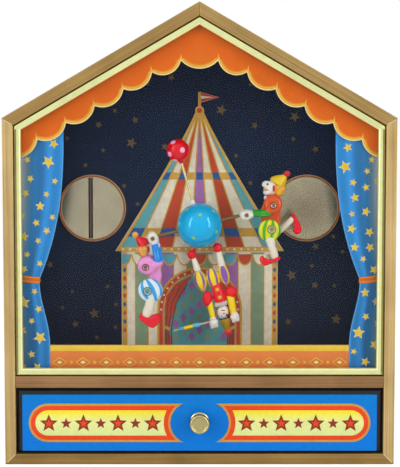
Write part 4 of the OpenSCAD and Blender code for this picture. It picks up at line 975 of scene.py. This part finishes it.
def make_clown(label, facing, pin, hands, shoulder, joints, head, half, legs, looks):
    """Side-view clown facing +X (1) or -X (-1); half is the head's half thickness."""
    slot = "clown_" + label
    tone = {k: paint(f"{label}_{k}", v) for k, v in looks.items() if isinstance(v, str)}

    arms = Piece(label + "_arms_shape")
    for where, shift in ((NEAR, 0.0), (FAR, hands["far"])):
        y, front, _ = where
        sleeve = [(x + shift, z) for x, z in hands["sleeve"]]
        upper = [(x + shift * 0.7, z) for x, z in hands["upper"]]
        (x0, z0), (x1, z1) = sleeve[0], sleeve[-1]
        across = Vector((z1 - z0, x0 - x1)).normalized()
        along = Vector((x0 - pin[0], z0 - pin[1])).normalized()
        limb(arms, sleeve, [1.75, 1.95, 2.05, 2.1], where, tone["sleeve"], 0.95)
        for side in (-0.7, 0.8):
            line = [(x + across.x * side, y - front * 0.78, z + across.y * side) for x, z in sleeve[1:]]
            arms.tube(line, [0.2, 0.34, 0.2], tone["sleeve_line"], 8)
        limb(arms, upper + [shoulder], [2.1, 2.5, 3.0], where, tone["jacket"], 0.95)
        lens(arms, shoulder, 5.15, 5.1, where, tone["jacket"])

        def on_hand(a, b):
            return plus(pin, along.x * a - along.y * b, along.y * a + along.x * b)

        pillow(arms, [on_hand(a, b) for a, b in FIST], where, white, 1.4)
        for x, z in (on_hand(-2.2, b) for b in (-1.5, 0.0, 1.5)):
            arms.egg((x, y - front * 0.62, z), (0.8, 0.8, 0.8), white, 10)
    arms.done(label + "_arms", slot, f"{label}_clown_arms")

    def on_head(u, v, y=0.0):
        return Vector((head[0] + facing * u, MID[0] + y, head[1] + v))

    body = Piece(label + "_body_shape")
    pillow(body, [plus(shoulder, u, v) for u, v in looks["torso"]], MID, tone["jacket"], 1.4)
    for u, v, size, tint, count in (
            (1.2, 0, (4.0, half, 4.1), white, 28),
            (3.9, 2.0, (2.6, half * 0.9, 2.1), white, 20),
            (3.4, -2.5, (2.4, half * 0.85, 1.6), white, 20),
            (3.7, -0.8, (2.1, half * 0.97, 1.1), skin_tan, 18),
            (4.4, -5.4, (1.0, MID[1] * 0.8, 1.3), white, 14),
            (-3.1, -0.9, (3.4, 3.2, 3.9), tone["hair"], 24)):
        body.egg(on_head(u, v), size, tint, count)
    for side in (-1, 1):
        for u, y, v, r in CURLS:
            body.egg(on_head(u, v, side * y), (r, r, r * 1.1), tone["hair"], 16)
        body.egg(on_head(0.0, -0.2, side * half * 0.9), (0.75, 0.6, 2.0), cheek_red, 14)
        body.egg(on_head(3.5, 2.2, side * half * 0.82), (0.85, 0.35, 0.7), eye_grey, 12)
        body.egg(on_head(3.7, 2.2, side * half * 0.95), (0.35, 0.2, 0.4), eye_black, 10)
    brim = [r * looks["hat_share"] for *_, r in HAT]
    cone = [on_head(u, v) for u, v, _ in HAT]
    body.tube(cone, brim, tone["hat"], 32, [r * 0.76 for r in brim], round_ends=False)
    pompon(body, on_head(-7.5, 7.9), 1.85, tone["pompon"])
    body.done(label + "_body", slot, f"{label}_clown_body")

    rivets = Piece(label + "_rivet_eyelets")
    for (x, z), r, ring in zip(joints, (2.0, 2.5), ("shoulder_ring", "hip_ring")):
        eyelet = [(1.1, -RIVET_LENGTH), (1.1, 0.4), (r, 0.5), (r, 0.9), (r - 0.2, 1.15), (r - 0.6, 1.25),
                  (r - 0.8, 1.0)]
        dish = [(r - 0.75, 0.6), (r - 0.75, 1.1), (r * 0.4, 0.85), (0.0, 0.8)]
        rivets.lathe(eyelet, (x, RIVET_Y, z), tone[ring], count=28)
        rivets.lathe(dish, (x, RIVET_Y, z), rivet_steel, count=24)
    rivets.done(label + "_body", "steel", f"{label}_clown_rivets")

    hip = joints[1]
    for name, where, (dx, dz, rx, rz), path, radii, shoe in legs:
        leg = Piece(f"{label}_{name}_leg_shape")
        centre = plus(hip, dx, dz)
        down = Vector((path[0][0] - hip[0], path[0][1] - hip[1])).normalized()
        striped = paint(f"{label}_{name}_stripes", stripes(centre, down, PUFF_R, *looks["puff"]))
        lens(leg, centre, rx, rz, where, striped, 40, 0.72)
        limb(leg, path, radii, where, sock_white, 0.9)
        pillow(leg, shoe, where, shoe_red, 0.75)
        leg.done(f"{label}_{name}_leg", slot, f"{label}_clown_{name}_leg")


left_rivet = plus(LEFT_PIN, -3.9, -16)
left_shin = [(-27.3, 91.4), (-28.3, 87.0), (-29.6, 82.8)], [2.45, 2.5, 2.6]
left_shoe = [(-34.0, 81.3), (-33.0, 78.9), (-30.4, 76.9), (-27.8, 75.2), (-26.1, 74.7), (-24.2, 76.0),
             (-22.5, 77.8), (-21.7, 79.8), (-22.4, 81.8), (-24.1, 82.2), (-25.8, 81.5), (-28.6, 80.8),
             (-31.2, 81.7), (-32.9, 82.3)]
make_clown(
    "left", 1, LEFT_PIN,
    {"sleeve": [(-25.2, 122.2), (-24.5, 119.0), (-23.8, 115.2), (-23.3, 112.4)],
     "upper": [(-23.1, 110.9), (-25.6, 110.2)], "far": 0.9},
    (-29.6, 109.8), (left_rivet, plus(left_rivet, 1, -13.5)), (-28.6, 118.9), 1.65,
    [("near", NEAR, (1.3, 0.4, 6.8, 6.5), *left_shin, left_shoe),
     ("far", FAR, (1.7, -0.8, 6.8, 6.5), *left_shin, left_shoe)],
    {"sleeve": "#1490F0", "sleeve_line": "#6CC0FA", "jacket": "#F49EDC", "hair": "#E8A850", "hat": "#EC1020",
     "pompon": "#F4B22A", "shoulder_ring": "#7C3C50", "hip_ring": "#5C8C90", "hat_share": 0.78,
     "torso": [(-4.2, 3.0), (-4.4, 0), (-2.6, -3.4), (0.4, -5.4), (1.3, -9), (2, -12.5), (6, -13),
               (7.6, -9.5), (8.4, -5.5), (7.4, -2), (5.2, 1.2), (3.4, 4.5), (0.8, 6.5), (-2.2, 5.5)],
     "puff": ("#38ACF0", "#E6F6FC", 8.0, 0.4, 0.3, 0.34)})
right_rivet = plus(RIGHT_PIN, 14.9, 5.5)
near_shin = [(39.3, 125.0), (40.0, 121.8), (40.8, 119.2), (41.9, 115.4)], [2.8, 2.3, 1.9, 2.2]
near_shoe = [(33.6, 113.4), (34.0, 115.0), (35.3, 115.4), (36.4, 114.2), (38.2, 113.5), (40.7, 113.9),
             (43.3, 114.9), (45.0, 114.7), (45.0, 113.4), (43.7, 112.4), (41.6, 111.5), (39.5, 110.7),
             (36.9, 109.8), (34.9, 110.6), (33.8, 112.0)]
far_shin = [(45.0, 128.9), (48.6, 132.2), (52.2, 135.6)], [1.75, 1.65, 1.6]
far_shoe = [(51.3, 138.2), (52.7, 138.5), (54.3, 136.8), (55.8, 134.0), (57.3, 130.5), (57.1, 128.3),
            (55.3, 127.0), (53.2, 127.4), (52.5, 129.3), (53.1, 131.8), (52.6, 134.4), (51.6, 136.6)]
make_clown(
    "right", -1, RIGHT_PIN,
    {"sleeve": [(30.6, 138.8), (33.2, 139.0), (36.0, 139.0), (38.0, 139.3)],
     "upper": [(38.5, 140.1), (39.6, 141.9)], "far": 0.4},
    (41.0, 144.0), (right_rivet, plus(right_rivet, -1, -13.4)), (41.3, 153.1), 2.8,
    [("near", NEAR, (-1.1, -0.7, 6.5, 6.1), *near_shin, near_shoe),
     ("far", FAR, (-0.4, -0.4, 5.7, 5.6), *far_shin, far_shoe)],
    {"sleeve": "#22A032", "sleeve_line": "#6CC850", "jacket": "#E4561C", "hair": "#F2AC34", "hat": "#F0C81E",
     "pompon": "#DC1428", "shoulder_ring": "#86421C", "hip_ring": "#8C8A3A", "hat_share": 1.0,
     "torso": [(4.0, 3.5), (4.4, 0), (4.2, -6), (3.4, -12.5), (-4.3, -13), (-6.1, -9.5), (-7.1, -5.5),
               (-6.3, -2), (-4.8, 1.2), (-3.2, 4.5), (-0.8, 6.5), (2.1, 6)],
     "puff": ("#58B424", "#EAE428", 9.0, 0.6, 0.3, 0.3)})

# Tumbler, upside down under the ball: local X across, local Z away from the ball

TUMBLE = math.radians(284)
T_OUT = Vector((math.cos(TUMBLE), 0, math.sin(TUMBLE)))
T_SIDE = Vector((math.sin(TUMBLE), 0, -math.cos(TUMBLE)))
T_HIP, T_SHOULDER, T_COLLAR, HEAD_X, T_HEAD, T_BRIM = 30.0, 41.5, 46.0, -1.0, 50.9, 54.5
FACE_X, GRIP_Y, GRIP_Z = HEAD_X - 0.3, 1.6, T_SHOULDER + 13.4


def tum(x, y, z):
    return Vector(BALL) + T_SIDE * x + Vector((0, y, 0)) + T_OUT * z


def run(piece, points, material, count, flat=None):
    """Tube through points of local X, local Z and radius."""
    piece.tube([tum(x, 0, z) for x, z, _ in points], [r for *_, r in points], material, count, flat)


def tumbler_stripes(name, cx, cz, radius, count, phase, share):
    at = tum(cx, 0, cz)
    pattern = stripes((at.x, at.z), (T_OUT.x, T_OUT.z), radius, "#8A58B4", "#FBDA18", count, phase, 0.0,
                      share)
    return paint(name, pattern)


t_red = paint("tumbler_red", "#F01224", 0.2)
t_yellow = paint("tumbler_yellow", "#FFE00C", 0.24)
t_button = paint("tumbler_button", "#F2B024", 0.24)
t_hat = paint("tumbler_hat", "#B08A1C", 0.3)
t_collar = paint("tumbler_collar", "#D0CDC6", 0.34)
t_hair = paint("tumbler_hair", "#D98A3C", 0.34)
baton_blue = paint("baton_blue", "#6CC0EC", 0.24)

legs = Piece("tumbler_legs_shape")
for label, (x, z, r), sock, puff, pattern in (
        ("a", (8.2, 14.8, 2.65), ((7.8, 17.2, 1.3), (7.5, 21.0, 1.7), (7.3, 25.4, 2.1)),
         ((7.35, 25.4, 2.3), (7.2, 27.6, 3.2), (7.1, 30.4, 3.55), (7.0, 33.0, 3.2), (6.9, 34.6, 2.2)),
         (7.0, 0.8, 0.14)),
        ("b", (-6.8, 14.6, 2.7), ((-6.8, 17.2, 1.6), (-6.75, 21.0, 1.9), (-6.65, 25.6, 2.1)),
         ((-6.65, 25.6, 2.2), (-6.7, 27.8, 2.7), (-6.8, 30.4, 2.85), (-6.8, 33.0, 2.5), (-6.7, 34.6, 1.7)),
         (5.0, -1.5, 0.5))):
    legs.egg(tum(x, -0.3, z), (r, 2.8, r), shoe_red, 24)
    legs.tube([tum(math.copysign(6.4, x), 0, 12.9), tum(x, 0, 14.5)], [1.2, 1.4], shoe_red, 14)
    run(legs, sock, sock_white, 18)
    run(legs, puff, tumbler_stripes("tumbler_leg_stripes_" + label, puff[2][0], T_HIP, 5.2, *pattern), 24)
legs.done("rotor", "clown_tumbler", "tumbler_legs")

pants = tumbler_stripes("tumbler_pants_stripes", -0.3, 30.6, 6.2, 9.0, 1.2, 0.15)
body = Piece("tumbler_body_shape")
run(body, ((-5.4, T_HIP, 1.15), (5.4, T_HIP, 1.15)), t_yellow, 16)
run(body, ((-0.3, 27.4, 2.6), (-0.3, 28.6, 3.5), (-0.3, 31.0, 3.75), (-0.3, 33.0, 3.3)), pants, 28)
run(body, ((-0.5, 33.6, 2.8), (-0.8, 36, 2.9), (-0.9, 39, 3.2), (-1.1, 42, 3.6), (-1.2, 44.4, 3.0)),
    t_red, 28, [2.7, 2.9, 3.1, 3.3, 2.9])
run(body, ((-7.2, T_SHOULDER, 1.05), (6.6, T_SHOULDER, 1.05)), t_red, 16)
body.hoop([(1.5, -1.1), (3.3, -1.0), (3.75, 0.0), (3.4, 1.0), (1.5, 1.2)], tum(-1.2, 0, T_COLLAR), t_collar,
          T_OUT, wobble=lambda a: (1 + 0.06 * math.cos(10 * a), 0.3 * math.sin(10 * a)))
for x, y, z, size, tint, count in (
        (-0.95, -3.2, 37.3, (1.15, 0.6, 1.15), t_button, 16),
        (-1.2, -3.2, 42.0, (1.15, 0.6, 1.15), t_button, 16),
        (HEAD_X, 0, T_HEAD, (2.95, 3.3, 4.2), white, 28),
        (FACE_X, -3.3, T_HEAD + 0.5, (0.7, 0.6, 0.7), skin_tan, 14),
        (FACE_X - 1.4, -2.6, T_HEAD + 1.9, (0.55, 0.4, 0.7), eye_black, 10),
        (FACE_X + 1.4, -2.6, T_HEAD + 1.9, (0.55, 0.4, 0.7), eye_grey, 10),
        (FACE_X, -3.05, T_HEAD - 1.3, (1.3, 0.4, 0.4), cheek_red, 12)):
    body.egg(tum(x, y, z), size, tint, count)
for dx, y, dz, r in ((2.7, 0.6, 0.4, 1.3), (2.6, 1.2, -1.0, 1.2), (2.0, 1.9, 0.2, 1.5), (1.2, 2.4, 0.6, 1.6)):
    for side in (-1, 1):
        body.egg(tum(HEAD_X + side * dx, y, T_HEAD + dz), (r, r, r), t_hair, 14)
body.hoop([(2.6, -0.35), (3.15, -0.3), (3.2, 0.2), (2.7, 0.4)], tum(HEAD_X, 0, T_BRIM), eye_black, T_OUT, 36)
body.lathe([(0.5, 0.0), (2.9, 0.0), (3.05, 0.3), (2.8, 1.6), (2.3, 4.0), (1.5, 6.8)],
           tum(HEAD_X, 0, T_BRIM + 0.1), t_hat, T_OUT, 32)
pompon(body, tum(HEAD_X, 0, T_BRIM + 8.0), 2.1, t_red)
body.done("tumbler", "clown_tumbler", "tumbler_body")

for label, (x, z, rx, rz), fore, (hx, hz) in (
        ("left", (5.8, 41.4, 2.85, 4.5), ((5.2, 43.4, 1.9), (5.2, 48.0, 1.7), (5.4, 52.4, 1.55)),
         (5.6, 55.8)),
        ("right", (-8.3, 40.9, 3.5, 3.5), ((-7.2, 42.8, 2.2), (-6.9, 47.4, 2.05), (-6.8, 52.0, 1.9)),
         (-6.9, 55.4))):
    arm = Piece("tumbler_" + label + "_arm_shape")
    arm.egg(tum(x, 0, z), (rx, 3.1, rz), t_red, 28)
    run(arm, fore, t_yellow, 22)
    arm.hoop([(1.3, -0.4), (1.95, -0.25), (2.05, 0.2), (1.4, 0.45)], tum(fore[2][0], 0, 52.9), white,
             T_OUT, 28)
    arm.egg(tum(hx, 0, hz), (2.5, 2.3, 2.9), white, 22)
    for finger in (-1.4, 0, 1.4):
        arm.egg(tum(hx + finger, -0.7, hz + 1.7), (0.8, 1.1, 1.2), white, 12)
    arm.egg(tum(hx - math.copysign(1.9, hx), -1.0, hz - 0.6), (0.75, 0.9, 1.2), white, 12)
    arm.done("tumbler_" + label + "_arm", "clown_tumbler", "tumbler_arm_" + label)

baton = Piece("baton_rod")
baton.tube([tum(x, GRIP_Y, GRIP_Z) for x in (5.6, 16.0, 28.6)], [0.6, 0.6, 0.55], stick_gold, 14)
for x0, x1, r, tint in ((25.2, 23.0, 1.1, baton_blue), (22.4, 17.6, 1.1, t_yellow),
                        (16.8, 14.2, 1.35, baton_blue)):
    baton.tube([tum(x, GRIP_Y, GRIP_Z) for x in (x0, (x0 + x1) / 2, x1)], [r, r * 1.06, r], tint)
baton.done("tumbler_left_arm", "clown_tumbler", "baton")

# Drawer: black bevelled front, blue plate, two plaques and a turned knob

PLATE_Y, PLATE_MID_Z, KNOB_Z = -41.7, 23.45, 24.25
PLAQUE_END, PLAQUE_R, HOLLOW_X, HOLLOW_R = 94.8, 10.8, 4.5, 11.7
STAR_X, STAR_STEP, STAR_Z, BIG_STAR, SMALL_STAR = 26, 9.6, PLATE_MID_Z - 0.3, 5.2, 3.2


def plate_print(s):
    up = s.span(s.split(s.at)[2], 0.008, 0.039)
    return s.ramp(up, [(0.0, "#007ADC"), (0.5, "#0079DA"), (1.0, "#067ACC")])


def field_print(s):
    up = s.span(s.split(s.at)[2], 0.0150, 0.0320)
    return s.ramp(up, [(0.0, "#D8E89A"), (0.55, "#EAEC98"), (0.8, "#F2E84A"), (1.0, "#F2D820")])


def plaque(inset, side):
    """Plaque outline drawn in by inset: round outer end, inner end hollowed round the knob."""
    h, hollow = PLAQUE_R - inset, HOLLOW_R + inset
    inner = math.degrees(math.asin(h / hollow))
    points = arc(PLAQUE_END - PLAQUE_R, 0, h, -90, 90, 28) + arc(HOLLOW_X, 0, hollow, inner, -inner, 20)
    return [(side * x, PLATE_MID_Z + z) for x, z in points]


lacquer = surface("black_lacquer", "#1B1D22", 0.3, vary=0.2, grain=320, bump=0.08, depth=0.06, coat=0.2)
plate_blue = surface("plate_blue", plate_print, 0.3, vary=0.05, grain=420, bump=0.05, depth=0.05)
dressed("drawer_front", "drawer", "drawer_black", lacquer, 0.25)
dressed("drawer_plate", "drawer", "drawer_blue", plate_blue, 0.35)

tan_line = ink("plaque_tan", "#D09A4C", bump=0.06, rough=0.4)
band_red = ink("plaque_red", "#EC4C20", 0.09, bump=0.06, rough=0.38)
star_brown = ink("plaque_brown", "#8E3A28", bump=0.06, rough=0.4)
field = ink("plaque_field", field_print, 0.06, rough=0.4)
signs = Piece("plaque_panels")
for side in (-1, 1):
    for inset, level, tint in ((0.0, 3.2, tan_line), (1.25, 4.0, band_red), (3.7, 5.0, field)):
        signs.printed(plaque(inset, side), PLATE_Y, level, tint, 0.08)
    for i in range(7):
        x = side * (STAR_X + i * STAR_STEP)
        size = SMALL_STAR if i % 2 else BIG_STAR
        signs.printed(star(x, STAR_Z, size, 0, 0.44), PLATE_Y, 5.5, star_brown)
        if size == BIG_STAR:
            signs.printed(star(x, STAR_Z, size * 0.5, 0, 0.42), PLATE_Y, 6.0, band_red)
signs.done("drawer", "plaque", "plaques")

knob_brass = surface("knob_brass", "#A89C6C", 0.24, 0.8, vary=0.1, grain=300, bump=0.06, depth=0.04)
knob = Piece("knob_turning")
knob.lathe([(0.0, 0.0), (5.1, 0.0), (5.25, 0.3), (5.2, 0.8), (4.6, 1.2), (3.4, 1.7), (3.0, 2.6), (3.0, 3.6),
            (3.5, 4.4), (4.7, 4.9), (5.35, 5.5), (5.5, 6.3), (5.5, 7.5), (5.35, 8.3), (5.0, 8.85), (4.6, 9.0),
            (4.2, 8.85), (3.95, 8.45), (3.6, 8.3), (1.8, 8.35), (0.0, 8.45)],
           (0, PLATE_Y, KNOB_Z), knob_brass, count=64)
knob.done("drawer", "brass", "drawer_knob")

# Screws on the back: domed heads, with a dark cross inlaid as painted shade for the cross recess

SCREW_X, SCREW_R, SCREW_TIP, HEAD_Y, HEAD_H = 97.5, 2.7, 30.5, 41.5, 1.4
CROSS_ARM, CROSS_HALF, CROSS_SINK, CROSS_RISE = 0.5 * SCREW_R, 0.22, 0.3, 0.02
SCREW = [(1.0, SCREW_TIP - HEAD_Y), (1.0, 0.0), (SCREW_R, 0.0), (SCREW_R, 0.25),
         (SCREW_R * 0.85, HEAD_H * 0.7), (SCREW_R * 0.45, HEAD_H), (0.0, HEAD_H)]
screws = Piece("back_screw_heads")
for cx, cz in ((side * SCREW_X, z) for side in (-1, 1) for z in (54.1, 174.5)):
    screws.lathe(SCREW, (cx, HEAD_Y, cz), steel, (0, 1, 0), 28)
    # Each cross is a dark plate on the head: painted shade standing for the cross recess
    for angle in (math.radians(20), math.radians(110)):
        c, s = math.cos(angle), math.sin(angle)
        cross = [(cx + a * c - b * s, cz + a * s + b * c)
                 for a, b in box(-CROSS_ARM, -CROSS_HALF, CROSS_ARM, CROSS_HALF)]
        screws.plate(cross, HEAD_Y + HEAD_H - CROSS_SINK, HEAD_Y + HEAD_H + CROSS_RISE, dark)
screws.done("case", "steel", "back_panel_screws")

# Camera at the photograph's viewing angle

TILT = math.radians(4.4635)
AIM = Vector((0, -0.042, 0.12882))
REACH = 0.75
FOCAL_PX, FRAME_W, SHIFT_PX, SENSOR = 1366.99, 400, 0.4, 36.0
scene = bpy.context.scene
camera = bpy.data.cameras.new("camera")
camera.sensor_fit = "HORIZONTAL"
camera.sensor_width = SENSOR
camera.lens = SENSOR * FOCAL_PX / FRAME_W
camera.shift_x = SHIFT_PX / FRAME_W
camera.clip_start = 0.01
eye = bpy.data.objects.new("camera", camera)
eye.location = AIM - REACH * Vector((0, math.cos(TILT), -math.sin(TILT)))
eye.rotation_euler = (math.pi / 2 - TILT, 0, 0)
scene.collection.objects.link(eye)
scene.camera = eye
scene.view_settings.view_transform = "Standard"

# Lamps, world and floor

CENTRE = Vector((0, 0, 0.13))
WORLD_LIGHT, FLOOR_LIFT, FLOOR_HALF = 0.4, 0.55, 6.0


def lamp(name, at, width, height, power):
    """Area lamp aimed at the middle of the box."""
    data = bpy.data.lights.new(name, "AREA")
    data.shape = "RECTANGLE"
    data.size, data.size_y = width, height
    data.energy = power
    made = bpy.data.objects.new(name, data)
    made.location = at
    made.rotation_euler = (CENTRE - Vector(at)).to_track_quat("-Z", "Y").to_euler()
    scene.collection.objects.link(made)


def seen_rays(tree):
    """One for camera, glossy and transmission rays."""
    path = tree.nodes.new("ShaderNodeLightPath")
    total = path.outputs["Is Camera Ray"]
    for name in ("Is Glossy Ray", "Is Transmission Ray"):
        add = tree.nodes.new("ShaderNodeMath")
        add.operation = "MAXIMUM"
        tree.links.new(total, add.inputs[0])
        tree.links.new(path.outputs[name], add.inputs[1])
        total = add.outputs[0]
    return total


lamp("strip_left", (-1.03, -0.82, 0.4), 0.2, 1.4, 9.0)
lamp("strip_right", (1.03, -0.82, 0.4), 0.2, 1.4, 9.0)
lamp("overhead", (0, -1.3, 1.15), 2.4, 1.3, 6.5)

world = bpy.data.worlds.new("studio")
scene.world = world
world.use_nodes = True
links = world.node_tree.links
level = world.node_tree.nodes.new("ShaderNodeMapRange")
level.inputs["To Min"].default_value = WORLD_LIGHT
level.inputs["To Max"].default_value = 1.0
links.new(seen_rays(world.node_tree), level.inputs["Value"])
background = world.node_tree.nodes["Background"]
background.inputs["Color"].default_value = (1, 1, 1, 1)
links.new(level.outputs["Result"], background.inputs["Strength"])

paper = Shader("floor_paper")
fibre = paper.noise(paper.at, 90.0, 2.0)
paper.set(Base_Color=paper.ramp(fibre, [(0.3, "#F1F1F0"), (0.7, "#F6F6F5")]), Roughness=0.8,
          Emission_Color=(1, 1, 1, 1),
          Emission_Strength=paper.math("MULTIPLY", seen_rays(paper.tree), FLOOR_LIFT))
floor_mesh = bpy.data.meshes.new("floor")
floor_mesh.from_pydata([(x, y, 0) for x, y in box(-FLOOR_HALF, -FLOOR_HALF, FLOOR_HALF, FLOOR_HALF)], [],
                       [(0, 1, 2, 3)])
floor_mesh.materials.append(paper.material)
floor = bpy.data.objects.new("floor", floor_mesh)
scene.collection.objects.link(floor)

bpy.context.view_layer.update()
